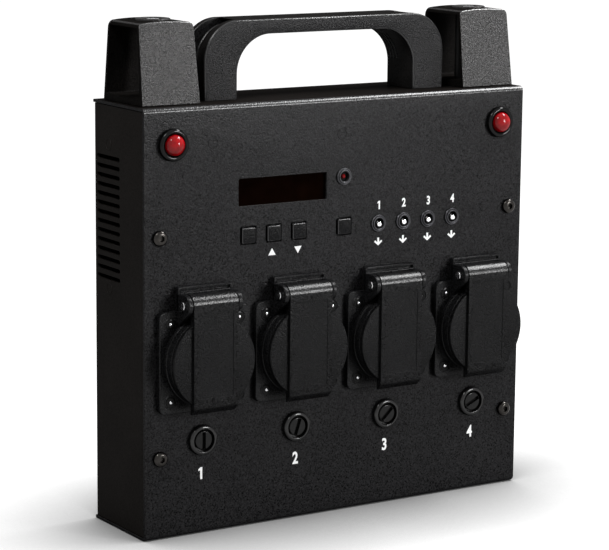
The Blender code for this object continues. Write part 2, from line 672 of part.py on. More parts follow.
def make_cover_screws(frame):
    """Make the four screws that draw the cover onto the tray's tabs."""
    screw = domed_screw(SCREW_HEAD_RADIUS, SCREW_HEAD_HEIGHT, -FIT, SCREW_LENGTH, SCREW_RADIUS,
                        SCREW_SOCKET_RADIUS, "Y")
    spots = {}
    for up, z in (("lower", SCREW_LOWER), ("upper", SCREW_UPPER)):
        for hand, side in (("left", -1), ("right", 1)):
            spots[f"cover_screw_{up}_{hand}"] = (side * SCREW_X, 0, z)
    place(screw, finish("dark_chrome", (0.10, 0.10, 0.11), 0.25, 1.0), frame, spots)


def ear_outline():
    """Side outline of a hinge ear: round at the pin, slanting back to a foot on the flange."""
    root = -HINGE_PLATE_THICKNESS / 2
    points = [(root, HINGE_RISE + BARREL_RADIUS * 0.94)]
    points += arc((-HINGE_REACH, HINGE_RISE), BARREL_RADIUS, 90.0, 216.0, BARREL_STEPS // 2)
    points += [(-EAR_HEEL_REACH, EAR_HEEL_RISE), (-FLANGE_THICKNESS - FIT, EAR_FOOT_RISE), (root, EAR_FOOT_RISE)]
    return points


def make_socket_bases(frame):
    """Make the socket: flange, collar, well with contacts, and hinge plate with two ears."""
    front = -FLANGE_THICKNESS - FIT
    plate_front = -HINGE_PLATE_THICKNESS - FIT
    base = prism(rounded_rectangle(FLANGE_SIZE, FLANGE_SIZE, FLANGE_CORNER), front, -FIT, "Y")
    middle = (HINGE_PLATE_RISE + HINGE_PLATE_FOOT) / 2
    outline = rounded_rectangle(2 * EAR_OUTER, HINGE_PLATE_RISE - HINGE_PLATE_FOOT, FLANGE_CORNER / 4,
                                (0, middle), 1)
    plate = prism(outline, plate_front, -FIT - EMBED / 2, "Y")
    profile = [(0, front + EMBED), (COLLAR_RADIUS, front + EMBED), (COLLAR_RADIUS, COLLAR_EDGE - COLLAR_REACH)]
    profile += [(COLLAR_RADIUS - COLLAR_EDGE, -COLLAR_REACH), (0, -COLLAR_REACH)]
    add(base, plate, revolve(profile, LARGE_STEPS))
    add(base, rod(BODY_RADIUS, -FIT - EMBED, BODY_BACK, LARGE_STEPS))
    add(base, block((-CONTACT_BLOCK_WIDTH / 2, BODY_BACK - EMBED, -CONTACT_BLOCK_HEIGHT / 2),
                    (CONTACT_BLOCK_WIDTH / 2, BODY_BACK + CONTACT_BLOCK_DEPTH, CONTACT_BLOCK_HEIGHT / 2)))
    add(base, gather([prism(ear_outline(), side * EAR_INNER, side * EAR_OUTER, "X") for side in (-1, 1)]))
    groove_top = HINGE_PLATE_RISE - HINGE_LIP_HEIGHT
    groove_half = EAR_OUTER - HINGE_GROOVE_MARGIN
    tools = [rod(WELL_RADIUS, -COLLAR_REACH - CUT_MARGIN, WELL_BOTTOM, LARGE_STEPS)]
    tools.append(block((-groove_half, plate_front - CUT_MARGIN, groove_top - HINGE_GROOVE_HEIGHT),
                       (groove_half, plate_front + HINGE_GROOVE_DEPTH, groove_top)))
    tools.append(rod(PIN_RADIUS + FIT, -EAR_OUTER - CUT_MARGIN, EAR_OUTER + CUT_MARGIN, TINY_STEPS, "X",
                     (-HINGE_REACH, HINGE_RISE)))
    cut(base, gather(tools))
    cut(base, gather([rod(CONTACT_RADIUS, WELL_BOTTOM - EMBED, WELL_BOTTOM + CONTACT_DEPTH, SMALL_STEPS, "Y",
                          (side * CONTACT_SPACING / 2, 0)) for side in (-1, 1)]))
    outer, inner = WELL_RADIUS + WELL_WALL / 2, WELL_RADIUS - EARTH_CLIP_THICKNESS
    add(base, gather([block((-EARTH_CLIP_WIDTH / 2, WELL_BOTTOM - EARTH_CLIP_LENGTH, up * inner),
                            (EARTH_CLIP_WIDTH / 2, WELL_BOTTOM + EMBED, up * outer)) for up in (-1, 1)]))
    spots = {f"socket_base_{k + 1}": (x, 0, SOCKET_LEVEL) for k, x in enumerate(SOCKET_XS)}
    place(base, finish("socket_plastic", (0.014, 0.014, 0.015), 0.42), frame, spots)


def make_socket_lids(frame):
    """Make the sprung lid: disc with a plug behind, and a wide strap that ends in the hinge barrel."""
    plug = WELL_RADIUS - LID_PLUG_PLAY
    profile = [(0, LID_PLUG_DEPTH - LID_BACK), (plug - LID_EDGE, LID_PLUG_DEPTH - LID_BACK)]
    profile += [(plug, -LID_BACK), (LID_RADIUS, -LID_BACK), (LID_RADIUS, LID_EDGE - LID_FRONT)]
    profile += [(LID_RADIUS - LID_EDGE, -LID_FRONT), (0, -LID_FRONT)]
    lid = revolve(profile, LARGE_STEPS)
    bottom = -LID_RADIUS - STRAP_OVERHANG
    outline = arc((-HINGE_REACH, HINGE_RISE), BARREL_RADIUS, -90.0, 180.0, BARREL_STEPS)
    outline += [(-STRAP_FRONT, bottom + STRAP_CHAMFER), (-STRAP_BACK - EMBED, bottom), (-STRAP_BACK, bottom)]
    outline += [(-STRAP_BACK, HINGE_RISE - BARREL_RADIUS)]
    add(lid, prism(outline, -STRAP_WIDTH / 2, STRAP_WIDTH / 2, "X"))
    half = STRAP_RECESS_WIDTH / 2
    cut(lid, block((-half, -STRAP_FRONT - CUT_MARGIN, STRAP_RECESS_FOOT - LID_RADIUS),
                   (half, STRAP_RECESS_DEPTH - STRAP_FRONT, HINGE_RISE - STRAP_RECESS_HEAD)),
        rod(PIN_RADIUS + FIT, -STRAP_WIDTH, STRAP_WIDTH, TINY_STEPS, "X", (-HINGE_REACH, HINGE_RISE)))
    spots = {f"socket_lid_{k + 1}": (x, 0, SOCKET_LEVEL) for k, x in enumerate(SOCKET_XS)}
    place(lid, finish("lid_plastic", (0.014, 0.014, 0.015), 0.38), frame, spots, (0, -HINGE_REACH, HINGE_RISE))


def make_hinge_pins(frame):
    """Make the pin that runs through both ears and the lid's barrel, with a head at each end."""
    face = EAR_OUTER + FIT
    end = face + PIN_HEAD_LENGTH
    profile = [(0, -end), (PIN_HEAD_RADIUS, -end), (PIN_HEAD_RADIUS, -face), (PIN_RADIUS, -face)]
    profile += [(radius, -along) for radius, along in profile[::-1]]
    spots = {f"hinge_pin_{k + 1}": (x, 0, SOCKET_LEVEL) for k, x in enumerate(SOCKET_XS)}
    pin = revolve(profile, TINY_STEPS, "X", (-HINGE_REACH, HINGE_RISE))
    place(pin, finish("pin_steel", (0.45, 0.45, 0.46), 0.3, 1.0), frame, spots, (0, -HINGE_REACH, HINGE_RISE))


def make_fuses(frame):
    """Make the fuse holders with their caps and the fuse links that the caps carry."""
    cap_bore = FUSE_CAP_RADIUS + FIT
    shank_bore = FUSE_SHANK_RADIUS + FIT
    link_bore = FUSE_LINK_RADIUS + FIT
    rim = -FUSE_BEZEL_PROUD
    end = FUSE_BORE_END + FUSE_BODY_END
    nut_back = PANEL_BACK + FUSE_NUT_THICKNESS
    crown = FUSE_BEZEL_RADIUS - cap_bore
    profile = [(0, end), (FUSE_BODY_RADIUS, end), (FUSE_BODY_RADIUS, nut_back), (FUSE_NUT_RADIUS, nut_back)]
    profile += [(FUSE_NUT_RADIUS, PANEL_BACK), (FUSE_BODY_RADIUS, PANEL_BACK), (FUSE_BODY_RADIUS, -FIT)]
    profile += [(FUSE_BEZEL_RADIUS, -FIT), (FUSE_BEZEL_RADIUS, rim + FUSE_BEZEL_CROWN)]
    profile += [(FUSE_BEZEL_RADIUS - crown * 0.3, rim + FUSE_BEZEL_CROWN * 0.25)]
    profile += [(FUSE_BEZEL_RADIUS - crown * 0.65, rim), (cap_bore, rim + FUSE_BEZEL_CROWN * 0.2)]
    profile += [(cap_bore, FUSE_CAP_BACK + FIT), (shank_bore, FUSE_CAP_BACK + FIT)]
    profile += [(shank_bore, FUSE_SHANK_END + FIT), (link_bore, FUSE_SHANK_END + FIT)]
    profile += [(link_bore, FUSE_BORE_END), (0, FUSE_BORE_END)]
    spots = {f"fuse_holder_{k + 1}": (x, 0, FUSE_LEVEL) for k, x in enumerate(SOCKET_XS)}
    place(revolve(profile, MEDIUM_STEPS), finish("fuse_plastic", (0.013, 0.013, 0.013), 0.3), frame, spots)
    edge = FUSE_CAP_RADIUS - BUTTON_EDGE
    profile = [(0, FUSE_CAP_FRONT), (edge, FUSE_CAP_FRONT), (FUSE_CAP_RADIUS, FUSE_CAP_FRONT + BUTTON_EDGE)]
    profile += [(FUSE_CAP_RADIUS, FUSE_CAP_BACK), (FUSE_SHANK_RADIUS, FUSE_CAP_BACK)]
    profile += [(FUSE_SHANK_RADIUS, FUSE_SHANK_END), (link_bore, FUSE_SHANK_END)]
    profile += [(link_bore, FUSE_LINK_START - FIT), (0, FUSE_LINK_START - FIT)]
    cap = revolve(profile, MEDIUM_STEPS)
    cut(cap, block((-FUSE_SLOT_WIDTH / 2, FUSE_CAP_FRONT - CUT_MARGIN, -FUSE_SLOT_LENGTH / 2),
                   (FUSE_SLOT_WIDTH / 2, FUSE_CAP_FRONT + FUSE_SLOT_DEPTH, FUSE_SLOT_LENGTH / 2)))
    spots = {f"fuse_cap_{k + 1}": (x, 0, FUSE_LEVEL) for k, x in enumerate(SOCKET_XS)}
    place(cap, finish("fuse_cap_plastic", (0.016, 0.016, 0.016), 0.3), frame, spots, turns=FUSE_SLOT_ANGLES)
    link = rod(FUSE_LINK_RADIUS, FUSE_LINK_START, FUSE_LINK_STOP, SMALL_STEPS)
    spots = {f"fuse_link_{k + 1}": (x, 0, FUSE_LEVEL) for k, x in enumerate(SOCKET_XS)}
    place(link, finish("fuse_link_glass", (0.75, 0.75, 0.70), 0.2), frame, spots)


def make_toggles(frame):
    """Make the toggle switches: dress ring, bushing and body, and the lever on its ball."""
    ring_front = -FIT - TOGGLE_RING_HEIGHT
    front = -FIT - TOGGLE_BUSHING_PROUD
    profile = [(0, front), (TOGGLE_BUSHING_RADIUS, front), (TOGGLE_BUSHING_RADIUS, ring_front)]
    profile += [(TOGGLE_RING_RADIUS - BUTTON_EDGE, ring_front), (TOGGLE_RING_RADIUS, ring_front + BUTTON_EDGE)]
    profile += [(TOGGLE_RING_RADIUS, -FIT), (TOGGLE_BUSHING_RADIUS, -FIT)]
    profile += [(TOGGLE_BUSHING_RADIUS, PANEL_BACK + EMBED), (0, PANEL_BACK + EMBED)]
    body = block((-TOGGLE_BODY_WIDTH / 2, PANEL_BACK, -TOGGLE_BODY_HEIGHT / 2),
                 (TOGGLE_BODY_WIDTH / 2, BOARD_PLACE - FIT, TOGGLE_BODY_HEIGHT / 2))
    add(body, revolve(profile, SMALL_STEPS))
    cut(body, rod(TOGGLE_BORE_RADIUS, front - CUT_MARGIN, TOGGLE_BORE_DEPTH, SMALL_STEPS))
    spots = {f"toggle_body_{k + 1}": (x, 0, CONTROL_LEVEL) for k, x in enumerate(TOGGLE_XS)}
    place(body, finish("toggle_metal", (0.30, 0.30, 0.31), 0.35, 1.0), frame, spots)
    ball, tip, length = TOGGLE_BALL_RADIUS, TOGGLE_TIP_RADIUS, TOGGLE_LEVER_LENGTH
    turns = [math.pi * k / 5 for k in range(1, 4)]
    profile = [(0, ball)] + [(ball * math.sin(turn), ball * math.cos(turn)) for turn in turns]
    profile += [(TOGGLE_NECK_RADIUS, -ball * 0.75), (tip, tip * 0.9 - length), (tip, tip * 0.5 - length)]
    profile += [(tip * 0.7, tip * 0.12 - length), (0, -length)]
    lever = revolve(profile, TINY_STEPS)
    lever.data.transform(Matrix.Rotation(math.radians(TOGGLE_TILT), 4, "X"))
    spots = {f"toggle_lever_{k + 1}": (x, TOGGLE_PIVOT_DEPTH, CONTROL_LEVEL) for k, x in enumerate(TOGGLE_XS)}
    place(lever, finish("lever_chrome", (0.75, 0.75, 0.76), 0.12, 1.0), frame, spots)


def make_buttons(frame):
    """Make the square push buttons, each with a flange behind the panel and a stem to its switch."""
    size = BUTTON_HOLE - 2 * BUTTON_GAP
    small = size - 2 * BUTTON_EDGE
    wide = BUTTON_HOLE + 2 * BUTTON_FLANGE
    corner = BUTTON_CORNER / 2
    outer = rounded_rectangle(size, size, corner, steps=1)
    back = PANEL_BACK + BUTTON_FLANGE_THICKNESS
    button = loft([(rounded_rectangle(small, small, corner, steps=1), -BUTTON_PROUD),
                   (outer, BUTTON_EDGE - BUTTON_PROUD), (outer, PANEL_BACK + EMBED)], "Y")
    end = BOARD_PLACE - KEY_SWITCH_HEIGHT - FIT - BUTTON_TRAVEL
    add(button, block((-wide / 2, PANEL_BACK, -wide / 2), (wide / 2, back, wide / 2)))
    add(button, rod(BUTTON_STEM_RADIUS, back - EMBED, end, TINY_STEPS))
    spots = {f"button_{name}": (x, 0, CONTROL_LEVEL) for name, x in zip(BUTTON_NAMES, BUTTON_XS)}
    place(button, finish("button_plastic", (0.012, 0.012, 0.012), 0.35), frame, spots)


def make_display(frame):
    """Make the display's window and the module behind it."""
    right, top = WINDOW_LEFT + WINDOW_WIDTH, WINDOW_BOTTOM + WINDOW_HEIGHT
    back = PANEL_BACK + WINDOW_THICKNESS
    window = block((WINDOW_LEFT - WINDOW_MARGIN, PANEL_BACK, WINDOW_BOTTOM - WINDOW_MARGIN),
                   (right + WINDOW_MARGIN, back, top + WINDOW_MARGIN))
    place(window, finish("window_acrylic", (0.030, 0.002, 0.003), 0.12), frame, {"display_window": (0, 0, 0)})
    module = block((WINDOW_LEFT - MODULE_INSET, back + FIT, WINDOW_BOTTOM - MODULE_INSET),
                   (right + MODULE_INSET, BOARD_PLACE - FIT, top + MODULE_INSET))
    place(module, finish("module_plastic", (0.02, 0.02, 0.02), 0.5), frame, {"display_module": (0, 0, 0)})


def make_light(frame, spots, finishes, radius, width, proud, dome, wall, length, steps):
    """Make round lights, each a bezel with its sleeve and nut, and a domed lens that fills the bore."""
    bore = radius + FIT
    sleeve = bore + wall
    rim = bore + width
    nut = sleeve + LAMP_NUT_WIDTH
    nut_back = PANEL_BACK + LAMP_NUT_THICKNESS
    profile = [(bore, -proud * 0.75), (bore + width * 0.3, -proud), (rim - width * 0.3, -proud)]
    profile += [(rim, -proud * 0.6), (rim, -FIT), (sleeve, -FIT), (sleeve, PANEL_BACK), (nut, PANEL_BACK)]
    profile += [(nut, nut_back), (sleeve, nut_back), (sleeve, length), (bore, length)]
    place(revolve(profile, steps), finishes[0], frame, {names[0]: spot for names, spot in spots.items()})
    profile = [(0, -proud - dome)]
    for turn in (math.radians(30), math.radians(60), math.radians(90)):
        profile.append((radius * math.sin(turn), -proud - dome * math.cos(turn)))
    profile += [(radius, length + LENS_TAIL), (0, length + LENS_TAIL)]
    place(revolve(profile, steps), finishes[1], frame, {names[1]: spot for names, spot in spots.items()})


def make_lights(frame):
    """Make the two corner lamps and the signal light."""
    spots = {(f"lamp_bezel_{hand}", f"lamp_lens_{hand}"): (side * LAMP_OFFSET, 0, LAMP_LEVEL)
             for hand, side in (("left", -1), ("right", 1))}
    finishes = (finish("bezel_gloss", (0.010, 0.010, 0.010), 0.12), finish("lamp_red", (0.35, 0.010, 0.015), 0.1))
    make_light(frame, spots, finishes, LAMP_LENS_RADIUS, LAMP_BEZEL_WIDTH, LAMP_BEZEL_PROUD, LAMP_DOME,
               LAMP_SLEEVE_WALL, LAMP_SLEEVE_LENGTH, MEDIUM_STEPS)
    finishes = (finish("bezel_grey", (0.16, 0.16, 0.17), 0.4), finish("signal_red", (0.55, 0.02, 0.02), 0.2))
    make_light(frame, {("signal_bezel", "signal_led"): (SIGNAL_PLACE, 0, SIGNAL_LEVEL)}, finishes,
               SIGNAL_LENS_RADIUS, SIGNAL_BEZEL_WIDTH, SIGNAL_BEZEL_PROUD, SIGNAL_DOME, SIGNAL_SLEEVE_WALL,
               SIGNAL_SLEEVE_LENGTH, TINY_STEPS)


def upright(x, z, width, height, low, high):
    """Make a box round a point of the panel's plane, from one depth to another."""
    return block((x - width / 2, low, z - height / 2), (x + width / 2, high, z + height / 2))


def make_boards(frame):
    """Make the control board behind the panel and the power board before the back."""
    front, back = BOARD_PLACE, BOARD_PLACE + BOARD_THICKNESS
    xs, zs = [x for x, z in STUD_SPOTS], [z for x, z in STUD_SPOTS]
    board = block((min(xs) - BOARD_MARGIN, front, min(zs) - BOARD_MARGIN),
                  (max(xs) + BOARD_MARGIN, back, max(zs) + BOARD_MARGIN))
    add(board, gather([upright(x, CONTROL_LEVEL, KEY_SWITCH_SIZE, KEY_SWITCH_SIZE, front - KEY_SWITCH_HEIGHT,
                               front + EMBED) for x in BUTTON_XS]))
    cut(board, gather([rod(STUD_TIP_RADIUS + FIT, front - CUT_MARGIN, back + CUT_MARGIN, TINY_STEPS, "Y", spot)
                       for spot in STUD_SPOTS]))
    place(board, finish("control_board_resin", (0.02, 0.12, 0.05), 0.5), frame, {"control_board": (0, 0, 0)})
    front = POWER_REAR - BOARD_THICKNESS
    board = block((POWER_LEFT, front, POWER_BOTTOM), (POWER_RIGHT, POWER_REAR, POWER_TOP))
    parts = [upright(x, RELAY_LEVEL, RELAY_WIDTH, RELAY_HEIGHT, front - RELAY_REACH, front + EMBED)
             for x in SOCKET_XS]
    parts.append(upright(0, TERMINAL_LEVEL, TERMINAL_WIDTH, TERMINAL_HEIGHT, front - TERMINAL_REACH,
                         front + EMBED))
    parts.append(upright(TRANSFORMER_PLACE, TRANSFORMER_LEVEL, TRANSFORMER_WIDTH, TRANSFORMER_HEIGHT,
                         front - TRANSFORMER_REACH, front + EMBED))
    add(board, gather(parts))
    cut(board, gather([rod(STUD_TIP_RADIUS + FIT, front - CUT_MARGIN, POWER_REAR + CUT_MARGIN, TINY_STEPS, "Y",
                           spot) for spot in POWER_SPOTS]))
    place(board, finish("power_board_resin", (0.02, 0.10, 0.05), 0.5), frame, {"power_board": (0, 0, 0)})


def handle_inner(offset, foot):
    """Inner edge of the handle, moved outwards by an offset, from one leg's foot to the other's."""
    inner = HANDLE_HALF_WIDTH - HANDLE_LEG
    centre = (inner - HANDLE_INNER_RADIUS, HANDLE_HEIGHT - HANDLE_GRIP - HANDLE_INNER_RADIUS)
    start = math.degrees(math.asin(max(0.0, foot - centre[1]) / HANDLE_INNER_RADIUS))
    points = [(inner + offset, foot)] if foot < centre[1] else []
    points += arc(centre, HANDLE_INNER_RADIUS + offset, start, 90.0, HANDLE_STEPS)
    return points + [(-x, z) for x, z in points[::-1]]


def make_handle(frame):
    """Make the bridge handle with channelled legs, ribbed grip, and studs down through the case."""
    corner = (HANDLE_HALF_WIDTH - HANDLE_OUTER_RADIUS, HANDLE_HEIGHT - HANDLE_OUTER_RADIUS)
    outer = [(HANDLE_HALF_WIDTH, 0.0)] + arc(corner, HANDLE_OUTER_RADIUS, 0.0, 90.0, HANDLE_STEPS)
    outer += [(-x, z) for x, z in outer[::-1]]
    back = HANDLE_FRONT + HANDLE_THICKNESS
    handle = prism(outer + handle_inner(0.0, 0.0)[::-1], HANDLE_FRONT, back, "Y")
    soften(handle, HANDLE_EDGE, 2)
    shapes = []
    for side in (-1, 1):
        channel = [(HANDLE_HALF_WIDTH - CHANNEL_DEPTH, -CUT_MARGIN)]
        channel += arc(corner, HANDLE_OUTER_RADIUS - CHANNEL_DEPTH, 0.0, CHANNEL_SWEEP, HANDLE_STEPS)
        channel += arc(corner, HANDLE_OUTER_RADIUS + CUT_MARGIN, CHANNEL_SWEEP, 0.0, HANDLE_STEPS)
        channel += [(HANDLE_HALF_WIDTH + CUT_MARGIN, -CUT_MARGIN)]
        outline = [(side * x, z) for x, z in channel]
        shapes.append(prism(outline, HANDLE_FRONT + CHANNEL_WALL, back - CHANNEL_WALL, "Y"))
    middle = back - HANDLE_THICKNESS / 4
    for k in range(RIB_GROOVES):
        y = middle + (k - (RIB_GROOVES - 1) / 2) * RIB_GROOVE_PITCH
        band = handle_inner(RIB_GROOVE_DEPTH, RIB_FOOT) + handle_inner(-RIB_GROOVE_DEPTH, RIB_FOOT)[::-1]
        shapes.append(prism(band, y - RIB_GROOVE_WIDTH / 2, y + RIB_GROOVE_WIDTH / 2, "Y"))
    cut(handle, gather(shapes))
    seat = -FIT - SHEET - FIT
    profile = [(0, EMBED), (HANDLE_STUD_RADIUS, EMBED), (HANDLE_STUD_RADIUS, seat), (HANDLE_NUT_RADIUS, seat)]
    profile += [(HANDLE_NUT_RADIUS, seat - HANDLE_NUT_HEIGHT), (0, seat - HANDLE_NUT_HEIGHT)]
    studs = [revolve(profile, TINY_STEPS, "Z", (side * HANDLE_STUD_X, HANDLE_MIDDLE)) for side in (-1, 1)]
    add(handle, gather(studs))
    place(handle, finish("handle_plastic", (0.013, 0.013, 0.014), 0.38), frame,
          {"carry_handle": (0, 0, HANDLE_BASE)})


def block_reach(height):
    """Front and rear of a stand-off block at a height, drawn in by its tapers."""
    share = height / BLOCK_HEIGHT
    return BLOCK_FRONT_TAPER * share - BLOCK_DEPTH / 2, BLOCK_DEPTH / 2 - BLOCK_REAR_TAPER * share


def block_plan(height, inset=0.0):
    """Plan outline of a stand-off block at a height."""
    front, rear = block_reach(height)
    width = BLOCK_WIDTH - 2 * BLOCK_SIDE_TAPER * height / BLOCK_HEIGHT
    return rounded_rectangle(width - 2 * inset, rear - front - 2 * inset, BLOCK_CORNER - inset / 2,
                             (0, (front + rear) / 2))


def make_blocks(frame):
    """Make the tapered stand-off blocks, open at both sides round a column, and their screws."""
    shoulder = BLOCK_HEIGHT - BLOCK_CROWN
    body = loft([(block_plan(0.0), 0.0), (block_plan(shoulder), shoulder),
                 (block_plan(BLOCK_HEIGHT, BLOCK_CROWN), BLOCK_HEIGHT)], "Z")
    roof = BLOCK_HEIGHT - BLOCK_ROOF
    low, high = block_reach(BLOCK_BASE), block_reach(roof)
    window = [(low[0] + BLOCK_WALL, BLOCK_BASE), (low[1] - BLOCK_WALL, BLOCK_BASE)]
    window += [(high[1] - BLOCK_WALL, roof), (high[0] + BLOCK_WALL, roof)]
    cut(body, prism(window, -BLOCK_WIDTH, BLOCK_WIDTH, "X"))
    add(body, rod(COLUMN_RADIUS, BLOCK_BASE / 2, roof + BLOCK_ROOF / 2, MEDIUM_STEPS, "Z"))
    profile = [(0, BLOCK_HEIGHT - EMBED), (BOSS_RADIUS, BLOCK_HEIGHT - EMBED), (BOSS_RADIUS, BOSS_TOP - BOSS_EDGE)]
    profile += [(BOSS_RADIUS - BOSS_EDGE, BOSS_TOP), (0, BOSS_TOP)]
    add(body, revolve(profile, MEDIUM_STEPS, "Z"))
    seat = BOSS_TOP - BOSS_RECESS
    recess = CAP_SCREW_HEAD_RADIUS + HOLE_PLAY
    profile = [(0, -CUT_MARGIN), (CAP_SCREW_RADIUS + FIT, -CUT_MARGIN), (CAP_SCREW_RADIUS + FIT, seat)]
    profile += [(recess, seat), (recess, BOSS_TOP + CUT_MARGIN), (0, BOSS_TOP + CUT_MARGIN)]
    cut(body, revolve(profile, SMALL_STEPS, "Z"))
    sides = (("left", -BLOCK_X), ("right", BLOCK_X))
    place(body, finish("block_plastic", (0.016, 0.016, 0.017), 0.7), frame,
          {f"stand_block_{hand}": (x, BLOCK_Y, HANDLE_BASE) for hand, x in sides})
    end = -FIT - SHEET - NUT_LENGTH - CAP_SCREW_END
    screw = domed_screw(CAP_SCREW_HEAD_RADIUS, CAP_SCREW_HEAD_HEIGHT, seat + FIT, end, CAP_SCREW_RADIUS,
                        CAP_SCREW_SOCKET_RADIUS, "Z")
    place(screw, finish("block_screw_steel", (0.30, 0.30, 0.31), 0.3, 1.0), frame,
          {f"block_screw_{hand}": (x, BLOCK_Y, HANDLE_BASE) for hand, x in sides})


def side_connector(outline, body, well, depth, screws):
    """Make a connector's flange, body, open well and screw heads, its outlines given in the side's plane."""
    flange = prism(outline, SIDE_FACE + FIT, FLANGE_FACE, "X")
    add(flange, prism(body, FLANGE_FACE - depth - CONNECTOR_FLOOR, SIDE_FACE + FIT + EMBED, "X"))
    cut(flange, prism(well, FLANGE_FACE - depth, FLANGE_FACE + CUT_MARGIN, "X"))
    head = FLANGE_FACE + CONNECTOR_SCREW_HEIGHT
    return add(flange, gather([rod(CONNECTOR_SCREW_RADIUS, FLANGE_FACE - EMBED, head, TINY_STEPS, "X", spot)
                               for spot in screws]))


def make_data_connector(frame, name, level, male):
    """Make a round three-pole data connector, with pins in the open well or a socket core."""
    middle = (CONNECTOR_PLACE, level)
    outline = rounded_rectangle(DATA_WIDTH, DATA_HEIGHT, CONNECTOR_CORNER, middle, 2)
    body = arc(middle, DATA_RADIUS, 0.0, 360.0, MEDIUM_STEPS)[:-1]
    well = arc(middle, DATA_WELL_RADIUS, 0.0, 360.0, MEDIUM_STEPS)[:-1]
    reach = (DATA_WIDTH / 2 - DATA_SCREW_INSET, DATA_HEIGHT / 2 - DATA_SCREW_INSET)
    screws = [(middle[0] - reach[0], middle[1] + reach[1]), (middle[0] + reach[0], middle[1] - reach[1])]
    connector = side_connector(outline, body, well, DATA_WELL_DEPTH, screws)
    floor = FLANGE_FACE - DATA_WELL_DEPTH
    spots = [arc(middle, DATA_PIN_CIRCLE, angle, angle, 1)[0] for angle in DATA_PIN_ANGLES]
    if male:
        add(connector, gather([rod(DATA_PIN_RADIUS, floor - EMBED, floor + DATA_PIN_LENGTH, TINY_STEPS, "X", spot)
                               for spot in spots]))
    else:
        front = FLANGE_FACE - DATA_CORE_SUNK
        add(connector, rod(DATA_CORE_RADIUS, floor - EMBED, front, MEDIUM_STEPS, "X", middle))
        cut(connector, gather([rod(DATA_PIN_RADIUS + FIT, front - DATA_PIN_LENGTH, front + CUT_MARGIN, TINY_STEPS,
                                   "X", spot) for spot in spots]))
    place(connector, finish(f"{name}_shell", (0.09, 0.09, 0.095), 0.4, 0.6), frame, {name: (0, 0, 0)})


def make_inlet(frame):
    """Make the mains inlet: flange, shaped well with three blades, and two screws."""
    middle = (CONNECTOR_PLACE, INLET_LEVEL)
    outline = rounded_rectangle(INLET_WIDTH, INLET_HEIGHT, CONNECTOR_CORNER, middle, 2)
    wall = 2 * INLET_WALL
    body = rounded_rectangle(INLET_WELL_WIDTH + wall, INLET_WELL_HEIGHT + wall, INLET_WELL_CORNER, middle, 1)
    well = rounded_rectangle(INLET_WELL_WIDTH, INLET_WELL_HEIGHT, INLET_WELL_CORNER, middle, 1)
    screws = [(middle[0], middle[1] + up * INLET_SCREW_PITCH / 2) for up in (-1, 1)]
    inlet = side_connector(outline, body, well, INLET_WELL_DEPTH, screws)
    floor = FLANGE_FACE - INLET_WELL_DEPTH
    blades = []
    for k, shift in ((-1, 1), (0, -1), (1, 1)):
        y = middle[0] + shift * INLET_BLADE_SHIFT
        z = middle[1] + k * INLET_BLADE_PITCH
        blades.append(block((floor - EMBED, y - INLET_BLADE_THICKNESS / 2, z - INLET_BLADE_HEIGHT / 2),
                            (floor + INLET_BLADE_LENGTH, y + INLET_BLADE_THICKNESS / 2, z + INLET_BLADE_HEIGHT / 2)))
    add(inlet, gather(blades))
    place(inlet, finish("inlet_plastic", (0.015, 0.015, 0.015), 0.45), frame, {"mains_inlet": (0, 0, 0)})


def build():
    """Make every piece on one empty."""
    for item in list(bpy.data.objects):
        bpy.data.objects.remove(item, do_unlink=True)
    frame = bpy.data.objects.new("pack_frame", None)
    bpy.context.collection.objects.link(frame)
    frame.location = (FRAME_X, FRAME_Y, 0.0)
    make_cover(frame)
    make_tray(frame)
    make_cover_screws(frame)
    make_socket_bases(frame)
    make_socket_lids(frame)
    make_hinge_pins(frame)
    make_fuses(frame)
    make_toggles(frame)
    make_buttons(frame)
    make_display(frame)
    make_lights(frame)
    make_boards(frame)
    make_handle(frame)
    make_blocks(frame)
    make_data_connector(frame, "dmx_in_connector", DATA_IN_LEVEL, True)
    make_data_connector(frame, "dmx_out_connector", DATA_OUT_LEVEL, False)
    make_inlet(frame)


build()
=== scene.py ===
import math

import bmesh
import bpy
import numpy as np
from mathutils import Matrix, Vector


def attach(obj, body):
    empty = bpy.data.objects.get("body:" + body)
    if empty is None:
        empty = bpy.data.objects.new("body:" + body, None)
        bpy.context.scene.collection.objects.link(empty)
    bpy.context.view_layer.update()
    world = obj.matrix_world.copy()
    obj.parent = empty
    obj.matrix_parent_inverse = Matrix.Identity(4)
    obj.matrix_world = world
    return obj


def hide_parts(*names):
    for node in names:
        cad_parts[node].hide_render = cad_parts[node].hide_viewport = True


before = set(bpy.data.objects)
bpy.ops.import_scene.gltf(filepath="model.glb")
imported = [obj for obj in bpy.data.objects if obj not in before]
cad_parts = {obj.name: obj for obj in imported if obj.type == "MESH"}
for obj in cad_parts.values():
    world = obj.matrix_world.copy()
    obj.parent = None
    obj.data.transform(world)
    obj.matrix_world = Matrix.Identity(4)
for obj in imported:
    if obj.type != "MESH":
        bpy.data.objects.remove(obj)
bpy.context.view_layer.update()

# Metres. The panel's own zero in the row frame: middle of the case, outer face, underside. Below, a level is a
# height above that zero, and a depth grows towards the inside of the case.
PANEL = (-0.0014, -0.01835, 0.0)
SOCKET_XS = (-0.0794, -0.0258, 0.0278, 0.0814)
TOGGLE_XS = (0.0220, 0.0370, 0.0520, 0.0670)
BUTTON_XS = {"mode": -0.0537, "up": -0.0393, "down": -0.0249, "lock": 0.0015}
SOCKET_LEVEL, FUSE_LEVEL, CONTROL_LEVEL = 0.0871, 0.0468, 0.1448
UPPER_STUDS, LOWER_STUDS = (-0.0734, 0.0, 0.0778), (-0.0634, 0.0113, 0.0779)
STUDS = [(x, 0.1909) for x in UPPER_STUDS] + [(x, 0.1446) for x in LOWER_STUDS]
WINDOW_SIZE, WINDOW_MIDDLE = (0.0502, 0.0132), (-0.0340, 0.1659)
